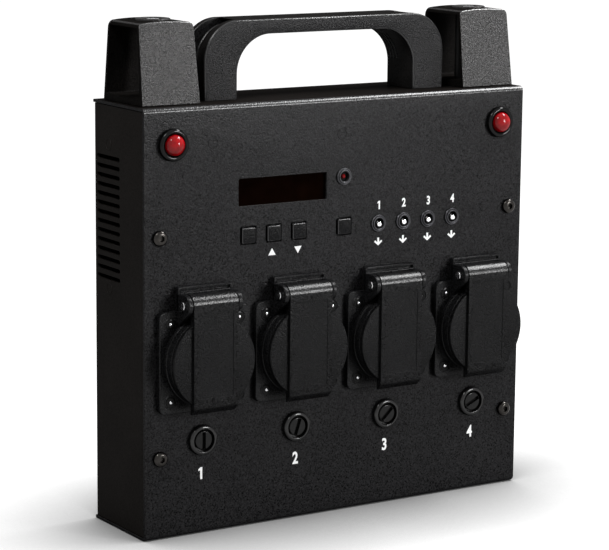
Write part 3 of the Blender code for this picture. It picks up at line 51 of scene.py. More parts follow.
LAMP_XS, LAMP_LEVEL = {"left": -0.0956, "right": 0.0956}, 0.1914
SIGNAL_X, SIGNAL_LEVEL = 0.0010, 0.1698
HALF_WIDTH, CASE_HEIGHT, CASE_DEPTH, SHEET = 0.111, 0.209, 0.0505, 0.0015
# The lid's hinge: its depth, its rise above the middle of the socket, and the radius of barrel and ears
HINGE_DEPTH, HINGE_RISE, BARREL = -0.0087, 0.0285, 0.0051
# How far each fuse cap is turned, in degrees
FUSE_TURNS = (0.0, 18.0, 46.0, 64.0)
# The level on which handle and blocks stand, and the depths between which print lies
HANDLE_FOOT, INK = 0.2093, (-0.00005, -0.00002)
# Corners of a square of side two round its middle
CORNERS = np.array([[1, 1], [-1, 1], [-1, -1], [1, -1]])


# Shapes: every piece is a grid of points, worked out as whole arrays

def eased(corners, ease, steps=5):
    """Round an outline's corners.

    Corner p with neighbours on both sides gives the curve (1-t)^2 a + 2t(1-t) p + t^2 b, where a and b
    lie on its two sides at the easing distance from p.
    """
    p = np.asarray(corners, float)
    ease = np.broadcast_to(ease, p.shape[:-1])[..., None]
    back, ahead = np.roll(p, 1, -2) - p, np.roll(p, -1, -2) - p
    a = p + back / np.maximum(np.linalg.norm(back, axis=-1, keepdims=True), 1e-9) * ease
    b = p + ahead / np.maximum(np.linalg.norm(ahead, axis=-1, keepdims=True), 1e-9) * ease
    t = np.linspace(0, 1, steps + 1)[:, None]
    curve = (1 - t) ** 2 * a[..., None, :] + 2 * t * (1 - t) * p[..., None, :] + t ** 2 * b[..., None, :]
    return curve.reshape(*p.shape[:-2], -1, 2)


def arc(centre, radius, start, end, steps):
    """Points centre + radius (cos a, sin a), with a from start to end in degrees."""
    a = np.radians(np.linspace(start, end, steps + 1))[:, None]
    return np.asarray(centre) + radius * np.hstack([np.cos(a), np.sin(a)])


def box_outline(width, height, corner, centre=(0.0, 0.0), steps=8):
    """Outline of a rectangle with four eased corners."""
    return eased(CORNERS * (width / 2, height / 2) + np.asarray(centre), corner, steps)


def stack(outlines, distances, axis="Y"):
    """Rings of a loft: point (p, q) at distance s is (s, p, q) for X, (p, s, q) for Y and (p, q, s) for Z."""
    outlines = np.asarray(outlines, float)
    if outlines.ndim == 2:
        outlines = np.broadcast_to(outlines, (len(distances), *outlines.shape))
    s = np.broadcast_to(np.asarray(distances, float)[:, None], outlines.shape[:2])
    p, q = outlines[..., 0], outlines[..., 1]
    return np.stack({"X": (s, p, q), "Y": (p, s, q), "Z": (p, q, s)}[axis], -1)


def turned(profile, steps=72, axis="Y"):
    """Rings of a turned piece: profile point (r, s) sweeps the circle of radius r at distance s."""
    profile = np.asarray(profile, float)
    circle = arc((0, 0), 1.0, 0, 360, steps)[:-1]
    return stack(profile[:, :1, None] * circle, profile[:, 1], axis)


def skin(grid, ends=(True, True), loop=False):
    """Mesh over rings of points: every point joins the next on its ring and the same one on the next ring."""
    rows, columns = grid.shape[:2]
    r, c = np.arange(rows if loop else rows - 1)[:, None], np.arange(columns)[None, :]
    near, far = r * columns, (r + 1) % rows * columns
    quads = np.stack([near + c, near + (c + 1) % columns, far + (c + 1) % columns, far + c], -1)
    faces = quads.reshape(-1, 4).tolist()
    last = (rows - 1) * columns
    faces += [list(range(columns))] * ends[0] + [list(range(last, last + columns))] * ends[1]
    mesh = bpy.data.meshes.new("shape")
    mesh.from_pydata(grid.reshape(-1, 3), [], faces)
    return tidy(mesh)


def tidy(mesh):
    """Merge doubled points and turn every face outwards."""
    bm = bmesh.new()
    bm.from_mesh(mesh)
    bmesh.ops.remove_doubles(bm, verts=bm.verts, dist=1e-7)
    bmesh.ops.recalc_face_normals(bm, faces=bm.faces)
    bm.to_mesh(mesh)
    bm.free()
    return mesh


def solid(profile, steps=72, axis="Y"):
    """Turned piece whose profile starts and ends on its axis."""
    return skin(turned(profile, steps, axis), ends=(False, False))


def ring(profile, steps=72, axis="Y"):
    """Turned piece whose closed profile stays clear of its axis."""
    return skin(turned(profile, steps, axis), ends=(False, False), loop=True)


def prism(outline, low, high, axis="Y"):
    """Straight piece with the same outline from low to high."""
    return skin(stack(outline, (low, high), axis))


def bar(low, high):
    """Plain box between two corners, as a tool or inside another piece."""
    (x0, y0, z0), (x1, y1, z1) = low, high
    outline = box_outline(x1 - x0, y1 - y0, 0, ((x0 + x1) / 2, (y0 + y1) / 2), 1)
    return prism(outline, z0, z1, "Z")


def together(*meshes):
    """One mesh that holds several."""
    bm = bmesh.new()
    for mesh in meshes:
        bm.from_mesh(mesh)
    whole = bpy.data.meshes.new("shape")
    bm.to_mesh(whole)
    bm.free()
    return whole


def moved(mesh, place=(0, 0, 0), turn=0.0, axis="Y"):
    """Copy of a mesh, turned by degrees about an axis and then moved."""
    copy = mesh.copy()
    copy.transform(Matrix.Translation(place) @ Matrix.Rotation(math.radians(turn), 4, axis))
    return copy


def cut(mesh, *tools):
    """Take tools out of a mesh."""
    target, tool = (bpy.data.objects.new("cut", m) for m in (mesh, together(*tools)))
    bpy.context.scene.collection.objects.link(target)
    bpy.context.scene.collection.objects.link(tool)
    modifier = target.modifiers.new("cut", "BOOLEAN")
    modifier.operation, modifier.solver, modifier.object = "DIFFERENCE", "EXACT", tool
    result = bpy.data.meshes.new_from_object(target.evaluated_get(bpy.context.evaluated_depsgraph_get()))
    bpy.data.objects.remove(target)
    bpy.data.objects.remove(tool)
    return result


def faces_of(mesh):
    """Normals and centres of a mesh's faces, as two arrays."""
    both = np.empty((2, 3 * len(mesh.polygons)), np.float32)
    mesh.polygons.foreach_get("normal", both[0])
    mesh.polygons.foreach_get("center", both[1])
    return both.reshape(2, -1, 3)


def show(name, mesh, material, body="root", nodes=(), slot=None, place=(0, 0, 0), edge=0.0, sharp=32,
         others=()):
    """Stand a mesh on its place on the panel as a piece that rides on a body.

    Edge is the width of its bevel, and sharp the angle in degrees from which an edge stays crisp. Each of the
    others is a finish and the mask of the faces that it covers.
    """
    mesh = moved(mesh, np.add(place, PANEL))
    mesh.name = name
    mesh.materials.clear()
    mesh.materials.append(material)
    finish_of_face = np.zeros(len(mesh.polygons), np.int32)
    for k, (other, covered) in enumerate(others, 1):
        mesh.materials.append(other)
        finish_of_face[covered] = k
    mesh.polygons.foreach_set("material_index", finish_of_face)
    mesh.shade_smooth()
    mesh.set_sharp_from_angle(angle=math.radians(sharp))
    item = bpy.data.objects.new(name, mesh)
    bpy.context.scene.collection.objects.link(item)
    if edge:
        bevel = item.modifiers.new("edges", "BEVEL")
        bevel.width, bevel.segments, bevel.limit_method = edge, 3, "ANGLE"
        bevel.angle_limit = math.radians(40)
        bevel.harden_normals = True
    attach(item, body)
    if nodes:
        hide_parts(*nodes)


# Finishes

def finish(name, colour, roughness, metallic=0.0, grain=1500.0, relief=0.00004, speckle=0.6, mottle=60.0,
           drift=0.4, haze=0.05, specular=0.0, coat=0.0, coat_roughness=0.30, coat_ior=2.2):
    """Surface finish from two noises over the piece, a fine grain f and a slow drift s.

    The grain raises the relief. Colour is the given one times 1 + 2 speckle (f - 0.5) + 2 drift (s - 0.5), and
    roughness goes from haze below its value to haze above it with s. A thin glossy coat lies over both.
    """
    material = bpy.data.materials.new(name)
    material.use_nodes = True
    nodes, links = material.node_tree.nodes, material.node_tree.links
    shader = nodes["Principled BSDF"]
    for socket, value in (("Metallic", metallic), ("Specular IOR Level", specular), ("Coat Weight", coat),
                          ("Coat Roughness", coat_roughness), ("Coat IOR", coat_ior)):
        shader.inputs[socket].default_value = value
    place = nodes.new("ShaderNodeTexCoord")
    noises = []
    for scale, detail in ((grain, 2.0), (mottle, 4.0)):
        noise = nodes.new("ShaderNodeTexNoise")
        noise.inputs["Scale"].default_value, noise.inputs["Detail"].default_value = scale, detail
        links.new(place.outputs["Object"], noise.inputs["Vector"])
        noises.append(noise)
    fine, slow = noises
    bump = nodes.new("ShaderNodeBump")
    bump.inputs["Strength"].default_value, bump.inputs["Distance"].default_value = 1.0, relief
    links.new(fine.outputs["Fac"], bump.inputs["Height"])
    links.new(bump.outputs["Normal"], shader.inputs["Normal"])
    links.new(bump.outputs["Normal"], shader.inputs["Coat Normal"])
    first, second = nodes.new("ShaderNodeMath"), nodes.new("ShaderNodeMath")
    first.operation = second.operation = "MULTIPLY_ADD"
    first.inputs[1].default_value, first.inputs[2].default_value = drift, 0.5 - 0.5 * (drift + speckle)
    second.inputs[1].default_value = speckle
    links.new(slow.outputs["Fac"], first.inputs[0])
    links.new(fine.outputs["Fac"], second.inputs[0])
    links.new(first.outputs[0], second.inputs[2])
    ramp = nodes.new("ShaderNodeValToRGB")
    ramp.color_ramp.elements[0].color = (0.0, 0.0, 0.0, 1.0)
    ramp.color_ramp.elements[1].color = (*[2.0 * channel for channel in colour], 1.0)
    links.new(second.outputs[0], ramp.inputs["Fac"])
    links.new(ramp.outputs["Color"], shader.inputs["Base Color"])
    span = nodes.new("ShaderNodeMapRange")
    for key, value in (("From Min", 0.3), ("From Max", 0.7), ("To Min", roughness - haze),
                       ("To Max", roughness + haze)):
        span.inputs[key].default_value = value
    links.new(slow.outputs["Fac"], span.inputs["Value"])
    links.new(span.outputs["Result"], shader.inputs["Roughness"])
    return material


# Some finishes below are glossier, slightly lighter copies of what lies beside them, put on bends and front
# edges that face the lamps: painted highlights, not wear. Others are darker, duller copies put where faces turn
# away from the light: painted shade.

# Case
powder_coat = finish("powder_coat_black", (0.0108, 0.0106, 0.0112), 0.60, grain=1500, relief=0.00015,
                     speckle=2.5, mottle=35, drift=0.25, coat=0.045, coat_roughness=0.22)
# Upper bend: a glossier, lighter copy of the coat that paints the lamps' highlight along the top edge.
bend_sheen_coat = finish("powder_coat_bend_painted_sheen", (0.0120, 0.0120, 0.0125), 0.50, grain=1500, relief=0.00010,
                   speckle=1.5, mottle=35, drift=0.25, coat=0.24, coat_roughness=0.22)
# Top and bottom folds: a darker, browner, nearly glossless copy of the coat that paints the shade of faces
# turned from the light.
fold_shade_coat = finish("powder_coat_fold_painted_shade", (0.0090, 0.0078, 0.0072), 0.60, grain=1300, relief=0.00008,
                   speckle=0.5, mottle=35, drift=0.3, coat=0.010, coat_roughness=0.36)
# Sides and back: a duller, browner copy of the coat, tuned to sides that face away from the lamps, as painted
# shade.
side_shade_coat = finish("powder_coat_side_painted_shade", (0.0145, 0.0130, 0.0120), 0.60, grain=1300, relief=0.00008,
                   speckle=0.5, mottle=35, drift=0.3, coat=0.018, coat_roughness=0.36)
dark_chrome = finish("screw_dark_chrome", (0.030, 0.028, 0.026), 0.20, 1.0, grain=700, relief=0.00001,
                     speckle=0.3)
print_white = finish("print_white", (0.93, 0.93, 0.93), 0.5, grain=2500, relief=0.00001, speckle=0.1,
                     drift=0.1)

# Sockets and lids
socket_black = finish("socket_moulding", (0.0095, 0.0095, 0.0100), 0.45, grain=1600, relief=0.00014,
                      speckle=3.0, coat=0.060, coat_roughness=0.18)
lid_black = finish("lid_moulding", (0.0062, 0.0062, 0.0065), 0.45, grain=1600, relief=0.00022,
                   speckle=3.6, coat=0.040, coat_roughness=0.20)
# Barrel top: a glossier copy of the lid moulding, as a painted highlight.
barrel_sheen_black = finish("lid_barrel_painted_sheen", (0.0075, 0.0075, 0.0078), 0.40, grain=1600, relief=0.00012,
                      speckle=2.0, coat=0.17, coat_roughness=0.22)
# Darker, duller moulding for the socket wells. On the blocks' columns it paints the shade inside the open
# blocks.
well_and_shade_black = finish("well_moulding_and_painted_shade", (0.008, 0.008, 0.008), 0.5, coat=0.04)
rivet_black = finish("rivet_black", (0.006, 0.006, 0.006), 0.30, grain=600, relief=0.00001, coat=0.05,
                     coat_roughness=0.15)
bright_steel = finish("pin_bright_steel", (0.55, 0.55, 0.56), 0.22, 1.0, grain=900, relief=0.00001,
                      speckle=0.2)

# Fuses, switches and lights
fuse_black = finish("fuse_moulding", (0.006, 0.006, 0.006), 0.35, grain=900, relief=0.00002, coat=0.20,
                    coat_roughness=0.14)
fuse_cap_black = finish("fuse_cap_moulding", (0.007, 0.007, 0.007), 0.35, grain=900, relief=0.00003,
                        coat=0.09, coat_roughness=0.18)
glass_tube = finish("fuse_glass", (0.45, 0.47, 0.46), 0.08, grain=300, relief=0.000003, specular=0.5)
button_black = finish("button_moulding", (0.0040, 0.0040, 0.0044), 0.45, grain=1200, relief=0.00022,
                      speckle=2.4, coat=0.034, coat_roughness=0.20)
# Rounded front edge of the caps: a glossier, lighter copy of the moulding, as a painted highlight.
button_edge_sheen = finish("button_edge_painted_sheen", (0.0080, 0.0080, 0.0085), 0.40, grain=1200, relief=0.00005,
                     coat=0.30, coat_roughness=0.22)
lever_chrome = finish("lever_polished_chrome", (0.80, 0.80, 0.81), 0.08, 1.0, grain=500, relief=0.000003,
                      speckle=0.1, haze=0.02)
ring_metal = finish("switch_ring_nickel", (0.038, 0.038, 0.041), 0.24, 1.0, grain=1200, relief=0.00002,
                    speckle=0.3)
# Near-black and nearly glossless: paints the shade inside the switch bores and the signal light's cup.
throat_shade_black = finish("switch_throat_painted_shade", (0.004, 0.004, 0.004), 0.5, coat=0.02)
lamp_black = finish("lamp_rim_gloss", (0.003, 0.003, 0.003), 0.30, grain=400, relief=0.000004,
                    coat=0.085, coat_roughness=0.07)
lamp_red = finish("lamp_red_dome", (0.26, 0.002, 0.004), 0.10, grain=500, relief=0.000004, speckle=0.4,
                  mottle=260, drift=0.8, haze=0.03, coat=0.40, coat_roughness=0.05, coat_ior=1.5)
signal_grey = finish("signal_rim_grey", (0.044, 0.044, 0.047), 0.32, 0.6, grain=900, relief=0.00002,
                     specular=0.2)
signal_red = finish("signal_red_dome", (0.20, 0.003, 0.004), 0.12, grain=600, relief=0.000004,
                    mottle=400, drift=0.6, haze=0.03, coat=0.40, coat_roughness=0.06, coat_ior=1.5)
window_red = finish("window_dark_red", (0.0030, 0.0011, 0.0006), 0.30, grain=120, relief=0.000005,
                    haze=0.01)

# Handle and blocks
handle_black = finish("handle_moulding", (0.0105, 0.0103, 0.0108), 0.45, grain=1600, relief=0.00022,
                      speckle=3.6, coat=0.046, coat_roughness=0.20)
# Rounded front edges: a glossier, lighter copy of the handle moulding, as a painted highlight.
handle_edge_sheen = finish("handle_edge_painted_sheen", (0.0120, 0.0120, 0.0125), 0.45, grain=1600, relief=0.00010,
                     speckle=1.5, coat=0.30, coat_roughness=0.22)
# Faces turned sideways or up: a darker, duller copy of the moulding, as painted shade.
handle_side_shade = finish("handle_side_painted_shade", (0.0090, 0.0084, 0.0082), 0.50, grain=1600, relief=0.00010,
                     speckle=1.5, coat=0.016, coat_roughness=0.30)
block_black = finish("block_coarse_moulding", (0.0140, 0.0130, 0.0130), 0.6, grain=1500, relief=0.00034,
                     speckle=3.6, coat=0.165, coat_roughness=0.24)
# Top front edge: a glossier, lighter copy of the block moulding, as a painted highlight.
block_edge_sheen = finish("block_edge_painted_sheen", (0.0150, 0.0145, 0.0145), 0.50, grain=1500, relief=0.00016,
                    speckle=2.0, coat=0.50, coat_roughness=0.24)
# Open sides, window inside and top: a darker, duller copy of the moulding, as painted shade.
block_side_shade = finish("block_side_painted_shade", (0.0060, 0.0054, 0.0050), 0.60, grain=1500, relief=0.00012,
                    speckle=1.5, coat=0.010, coat_roughness=0.35)
plated_steel = finish("screw_plated_steel", (0.35, 0.35, 0.36), 0.28, 1.0, grain=900, relief=0.00002,
                      speckle=0.3)

# Nodes that keep the model's own shape
module_dark = finish("module_dark", (0.02, 0.02, 0.02), 0.5, specular=0.2)
board_green = finish("board_green", (0.02, 0.10, 0.05), 0.4, mottle=90, drift=0.6, specular=0.4)
shell_dark = finish("connector_shell", (0.055, 0.055, 0.06), 0.35, 0.7, grain=1200, relief=0.00002,
                    specular=0.3)
inlet_black = finish("inlet_moulding", (0.012, 0.012, 0.012), 0.45, grain=1200, relief=0.00006, coat=0.08)


# Case sheets

def folded(corners, radius, steps=12):
    """Outline of a bent sheet from its outer corner points.

    Each inner corner turns on an arc of the bend radius, given once or corner by corner, and the inner face
    follows at the radius less the sheet's thickness.
    """
    p = np.asarray(corners, float)
    radius = np.broadcast_to(radius, len(p) - 2)[:, None, None]
    runs = np.diff(p, axis=0)
    runs /= np.linalg.norm(runs, axis=1, keepdims=True)
    before, after = runs[:-1, None], runs[1:, None]
    turn = np.linspace(0, np.pi / 2, steps + 1)[None, :, None]
    arm = before * np.sin(turn) - after * np.cos(turn)
    centre = p[1:-1, None] + (after - before) * radius
    outer = (centre + radius * arm).reshape(-1, 2)
    inner = (centre + (radius - SHEET) * arm).reshape(-1, 2)
    outer = np.vstack([p[:1], outer, p[-1:]])
    inner = np.vstack([p[:1] + runs[1] * SHEET, inner, p[-1:] - runs[-2] * SHEET])
    return np.vstack([outer, inner[::-1]])


def disc(radius, x, z, low=-0.004, high=0.004, axis="Y", steps=48):
    """Round tool through a wall."""
    return prism(arc((x, z), radius, 0, 360, steps)[:-1], low, high, axis)


def make_cover():
    """Front sheet, folded back over top and bottom, with an opening for each thing that stands in it."""
    outline = folded([(CASE_DEPTH, CASE_HEIGHT), (0, CASE_HEIGHT), (0, 0), (CASE_DEPTH, 0)], 0.0024)
    sheet = prism(outline, -HALF_WIDTH, HALF_WIDTH, "X")
    through = (-0.004, 0.004)
    tools = [prism(box_outline(*WINDOW_SIZE, 0.0004, WINDOW_MIDDLE, 3), *through)]
    tools += [prism(box_outline(0.0089, 0.0089, 0.0009, (x, CONTROL_LEVEL), 4), *through)
              for x in BUTTON_XS.values()]
    tools += [disc(0.02175, x, SOCKET_LEVEL, steps=72) for x in SOCKET_XS]
    tools += [disc(0.0066, x, FUSE_LEVEL) for x in SOCKET_XS]
    tools += [disc(0.0036, x, CONTROL_LEVEL) for x in TOGGLE_XS]
    tools += [disc(0.0069, x, LAMP_LEVEL) for x in LAMP_XS.values()]
    tools += [disc(0.0039, SIGNAL_X, SIGNAL_LEVEL)]
    sheet = cut(sheet, *tools)
    normal, centre = faces_of(sheet)
    # The flat top and bottom folds take the painted shade.
    flat = np.abs(normal[:, 2]) > 0.995
    upper, sideways = centre[:, 2] > 0.9 * CASE_HEIGHT, np.abs(normal[:, 0]) >= 0.5
    # The faces of the upper bend take the painted highlight.
    bend = ~flat & (np.abs(normal[:, 1]) < 0.985) & upper & ~sideways
    show("front_sheet", sheet, powder_coat, nodes=["front_cover"], slot="cover_powder_coat", edge=0.0003,
         others=[(fold_shade_coat, flat), (bend_sheen_coat, bend)])


def make_tray():
    """Sides and back in one sheet, with vents, openings for the connectors, and a lip at foot and top."""
    face, front, return_lip = 0.1106, 0.0018, 0.0064
    corners = [(face - return_lip, front), (face, front), (face, CASE_DEPTH), (-face, CASE_DEPTH),
               (-face, front), (return_lip - face, front)]
    tray = prism(folded(corners, (0.0027, 0.0016, 0.0016, 0.0027)), 0.0018, 0.2072, "Z")
    inner, outer = 0.106, 0.113
    vents, vent_size, vent_depth, vent_top, vent_pitch = 14, (0.0114, 0.0011), 0.0361, 0.1820, 0.0045
    slots = []
    for k in range(vents):
        slot = eased(CORNERS * vent_size + (vent_depth, vent_top - k * vent_pitch), 0.0011, 6)
        slots += [prism(slot, side * inner, side * outer, "X") for side in (-1, 1)]
    slots += [disc(0.0116, 0.0320, z, inner, outer, "X") for z in (0.1035, 0.0705)]
    slots.append(prism(box_outline(0.0214, 0.0284, 0.002, (0.0320, 0.0290)), inner, outer, "X"))
    tray = cut(tray, *slots)
    lips = [bar((-0.1078, 0.0387, z), (0.1078, 0.0497, z + SHEET)) for z in (0.0018, 0.2057)]
    # The tray wears the sides' painted-shade copy of the coat.
    show("side_and_back_sheet", together(tray, *lips), side_shade_coat, nodes=["rear_tray"],
         slot="tray_powder_coat", edge=0.00025)


def make_marks():
    """Thin raised rings where studs are pressed into the sheets."""
    mark = ring([(0.00235, 0.0001), (0.0025, -0.00018), (0.00275, -0.00018), (0.0029, 0.0001)], 56)
    for k, (x, z) in enumerate(STUDS):
        show(f"stud_mark_{k + 1}", mark, powder_coat, place=(x, 0, z))
    mark = moved(mark, turn=-90, axis="Z")
    # The side marks take the same painted-shade copy of the coat.
    for k, z in enumerate((0.1884, 0.1181)):
        show(f"side_mark_{k + 1}", mark, side_shade_coat, place=(-0.1106, 0.0355, z))


def hex_screw(head, height, shank, length, socket):
    """Domed screw head with a six-sided socket, standing on zero towards -Y, and its shank.

    The dome's radius is head (0.30 + 0.70 cos c), and it stands out by height (0.25 + 0.75 sin c / sin 62),
    with c from 0 to 62 degrees. Its rings are circles, and from the socket's rim inwards each ring's radius
    is socket / cos(angle within its sixth).
    """
    curve = np.radians(np.linspace(0, 62, 9))
    across = head * 0.30 + head * 0.70 * np.cos(curve)
    out = -height * 0.25 - height * 0.75 * np.sin(curve) / np.sin(curve[-1])
    foot = [(0, length), (shank, length), (shank, 0), (head, 0)]
    rings = turned(np.vstack([foot, np.stack([across, out], 1), [(socket * 1.3, -height)]]), 48)
    a = np.linspace(0, 2 * np.pi, 48, endpoint=False)
    hexagon = socket / np.cos((a + np.pi / 6) % (np.pi / 3) - np.pi / 6)
    flats = np.stack([hexagon * np.cos(a), hexagon * np.sin(a)], -1)
    inner = stack([flats * 1.06, flats, flats, flats * 0],
                  (-height, -height * 0.92, -height * 0.30, -height * 0.22))
    return skin(np.vstack([rings, inner]), ends=(False, False))


def make_screws():
    """Button-head screws that hold the cover, two on each side."""
    screw = hex_screw(0.0038, 0.0022, 0.0019, 0.0085, 0.0013)
    for up, z in (("lower", 0.0401), ("upper", 0.1474)):
        for hand, side in (("left", -1), ("right", 1)):
            show(f"case_screw_{up}_{hand}", screw, dark_chrome, nodes=[f"cover_screw_{up}_{hand}"],
                 slot="dark_chrome", place=(side * 0.1027, -0.0003, z))


# Sockets with sprung lids

def make_sockets():
    """Panel sockets: flange, collar round the well, its floor with two contact holes, earth clips and hinge."""
    front = -0.0030
    flange = prism(box_outline(0.050, 0.050, 0.0040), front, -0.0003)
    flange = cut(flange, disc(0.0200, 0, 0, -0.006, 0.004, steps=72))
    step = front - 0.0022
    collar = ring(eased([(0.01975, -0.0096), (0.0224, -0.0096), (0.0224, step), (0.0228, step),
                         (0.0228, front), (0.02135, front), (0.02135, 0.0106), (0.01975, 0.0106)],
                        [0.0005, 0.0005, 0.0002, 0.0003, 0, 0, 0, 0]), 96)
    floor = solid([(0, 0.0076), (0.0199, 0.0076), (0.0199, 0.0191), (0, 0.0191)], 96)
    floor = cut(floor, *[disc(0.0026, x, 0, 0.005, 0.0156, steps=32) for x in (-0.0095, 0.0095)])
    clip = eased([(0.0078, 0.01975), (-0.0034, 0.01975), (-0.0030, 0.0183), (0.0020, 0.0180),
                  (0.0078, 0.0183)], [0, 0.0006, 0.0005, 0.0008, 0])
    clips = [prism(clip * (1, up), -0.0025, 0.0025, "X") for up in (-1, 1)]
    plate = cut(prism(box_outline(0.0300, 0.0184, 0.0010, (0, 0.0272)), -0.0033, -0.0006),
                bar((-0.0135, -0.006, 0.0337), (0.0137, -0.0018, 0.0353)))
    ear = np.vstack([[(-0.0015, 0.0333)], arc((HINGE_DEPTH, HINGE_RISE), BARREL, 90, 216, 18),
                     [(-0.0060, 0.0200), (-0.0030, 0.0170), (-0.0015, 0.0170)]])
    hole = disc(0.0015, HINGE_DEPTH, HINGE_RISE, -0.02, 0.02, "X", 32)
    ears = [cut(prism(ear, side * 0.0125, side * 0.0150, "X"), hole) for side in (-1, 1)]
    rim = ring([(0.0028, 0.0001), (0.0030, -0.00030), (0.0032, -0.00030), (0.0035, 0.0001)], 48)
    head = ring([(0.0011, 0.0001), (0.0012, -0.0003), (0.0018, -0.0004), (0.0025, -0.0002),
                 (0.0027, 0.0001)], 40)
    dome = np.radians(np.linspace(0, 90, 9))
    stub = solid(np.vstack([np.stack([0.0009 * np.sin(dome), -0.0003 - 0.0006 * np.cos(dome)], 1),
                            [(0.0009, 0.0001), (0, 0.0001)]]), 32)
    spots = [(s * 0.019, front, u * 0.019) for s in (-1, 1) for u in (-1, 1)]
    rims, rivets, stubs = ([moved(mesh, spot) for spot in spots] for mesh in (rim, head, stub))
    for k, x in enumerate(SOCKET_XS, 1):
        spot = (x, 0, SOCKET_LEVEL)
        plastic, steel = {"slot": "socket_plastic", "place": spot}, {"slot": "pin_steel", "place": spot}
        show(f"socket_flange_{k}", flange, socket_black, nodes=[f"socket_base_{k}"], edge=0.0005, **plastic)
        show(f"socket_collar_{k}", together(collar, *rims), socket_black, **plastic)
        show(f"socket_floor_{k}", floor, well_and_shade_black, edge=0.0003, **plastic)
        show(f"earth_clips_{k}", together(*clips), bright_steel, edge=0.0002, **steel)
        show(f"hinge_plate_{k}", plate, socket_black, edge=0.00035, **plastic)
        show(f"hinge_ears_{k}", together(*ears), socket_black, edge=0.0005, **plastic)
        show(f"socket_rivets_{k}", together(*rivets), rivet_black, **plastic)
        show(f"rivet_stubs_{k}", together(*stubs), bright_steel, **steel)


def make_lids():
    """Sprung lids: a disc that closes the well, and a strap with a shallow recess that ends in the barrel."""
    back, front, strap_front = -0.0099, -0.0123, -0.0138
    lid = solid(eased([(0, back + 0.0015), (0.01915, back + 0.0015), (0.01915, back), (0.0226, back),
                       (0.0226, front), (0, front)], [0, 0.0008, 0, 0.0003, 0.0006, 0]), 96)
    bottom = -0.0246
    side = eased([(strap_front, HINGE_RISE), (strap_front, bottom + 0.0031), (-0.0105, bottom),
                  (-0.0102, bottom), (-0.0102, 0.0234)], [0, 0.0006, 0.0002, 0, 0], 4)
    outline = np.vstack([arc((HINGE_DEPTH, HINGE_RISE), BARREL, -90, 180, 40), side])
    strap = prism(outline, -0.0122, 0.0122, "X")
    recess = box_outline(0.0190, 0.0416, 0.0008, (0, 0.0042))
    strap = cut(strap, prism(recess, strap_front - 0.002, strap_front + 0.0003),
                disc(0.0016, HINGE_DEPTH, HINGE_RISE, -0.02, 0.02, "X", 32))
    normal, centre = faces_of(strap)
    # The barrel's upward faces take the painted highlight.
    barrel = (normal[:, 2] > 0.15) & (centre[:, 2] > HINGE_RISE)
    for k, x in enumerate(SOCKET_XS, 1):
        spot = (x, 0, SOCKET_LEVEL)
        show(f"lid_disc_{k}", lid, lid_black, f"lid_{k}", [f"socket_lid_{k}"], "lid_plastic", spot)
        show(f"lid_strap_{k}", strap, lid_black, f"lid_{k}", (), "lid_plastic", spot, 0.0004,
             others=[(barrel_sheen_black, barrel)])


def make_pins():
    """Hinge pins with a slotted head at each end."""
    face, end = 0.0153, 0.0161
    half = [(0.0013, 0.0), (0.0013, face), (0.0021, face), (0.0021, end - 0.0002), (0.0019, end), (0, end)]
    profile = [(r, -s) for r, s in half[::-1]] + half[1:]
    middles = [side * (end - 0.0004) for side in (-1, 1)]
    slots = [bar((x - 0.0005, -0.0003, -0.003), (x + 0.0005, 0.0003, 0.003)) for x in middles]
    pin = cut(solid(profile, 40, "X"), *slots)
    for k, x in enumerate(SOCKET_XS, 1):
        show(f"lid_pin_{k}", pin, bright_steel, nodes=[f"hinge_pin_{k}"], slot="pin_steel",
             place=(x, HINGE_DEPTH, SOCKET_LEVEL + HINGE_RISE))


# Fuses, switches and lights

def rod(radius, low, high):
    """Round rod with eased ends, as one part of a fuse link."""
    return solid(eased([(0, low), (radius, low), (radius, high), (0, high)], [0, 0.0003, 0.0003, 0]), 40)


def make_fuses():
    """Fuse holders with a nut, a slotted cap that grips the fuse link, and the link's glass tube and ends."""
    rim = -0.0026
    holder = solid(eased([(0, 0.0299), (0.0062, 0.0299), (0.0062, -0.0003), (0.00765, -0.0003),
                          (0.00765, rim + 0.0006), (0.0066, rim), (0.0057, rim), (0.0057, 0.0019),
                          (0.0039, 0.0019), (0.0039, 0.0109), (0.0029, 0.0109), (0.0029, 0.0254),
                          (0, 0.0254)], [0, 0, 0, 0, 0.0011, 0.0006, 0.0003, 0, 0, 0, 0, 0, 0]))
    nut = ring([(0.0063, 0.0018), (0.0080, 0.0018), (0.0080, 0.0048), (0.0063, 0.0048)], 6)
    front = -0.0021
    cap = solid(eased([(0, front), (0.0047, front), (0.0047, 0.0016), (0.0036, 0.0016), (0.0036, 0.0106),
                       (0.0029, 0.0106), (0.0029, 0.0048), (0, 0.0048)], [0, 0.0007, 0.0002, 0, 0, 0, 0, 0]))
    slot = prism(box_outline(0.0020, 0.0084, 0.0002, steps=3), front - 0.002, front + 0.0016)
    cap = cut(cap, slot)
    start, end = 0.0051, 0.0251
    tube = rod(0.0024, start, end)
    ends = [rod(0.0026, start, 0.0106), rod(0.0026, 0.0196, end)]
    for k, (x, turn) in enumerate(zip(SOCKET_XS, FUSE_TURNS), 1):
        spot = (x, 0, FUSE_LEVEL)
        show(f"fuse_rim_{k}", together(holder, nut), fuse_black, nodes=[f"fuse_holder_{k}"],
             slot="fuse_plastic", place=spot)
        show(f"fuse_knob_{k}", moved(cap, turn=turn), fuse_cap_black, f"cap_{k}", [f"fuse_cap_{k}"],
             "fuse_cap_plastic", spot, 0.0002)
        show(f"fuse_tube_{k}", tube, glass_tube, f"fuse_{k}", [f"fuse_link_{k}"], "fuse_link_glass", spot)
        show(f"fuse_ends_{k}", together(*ends), bright_steel, f"fuse_{k}", (), "pin_steel", spot)


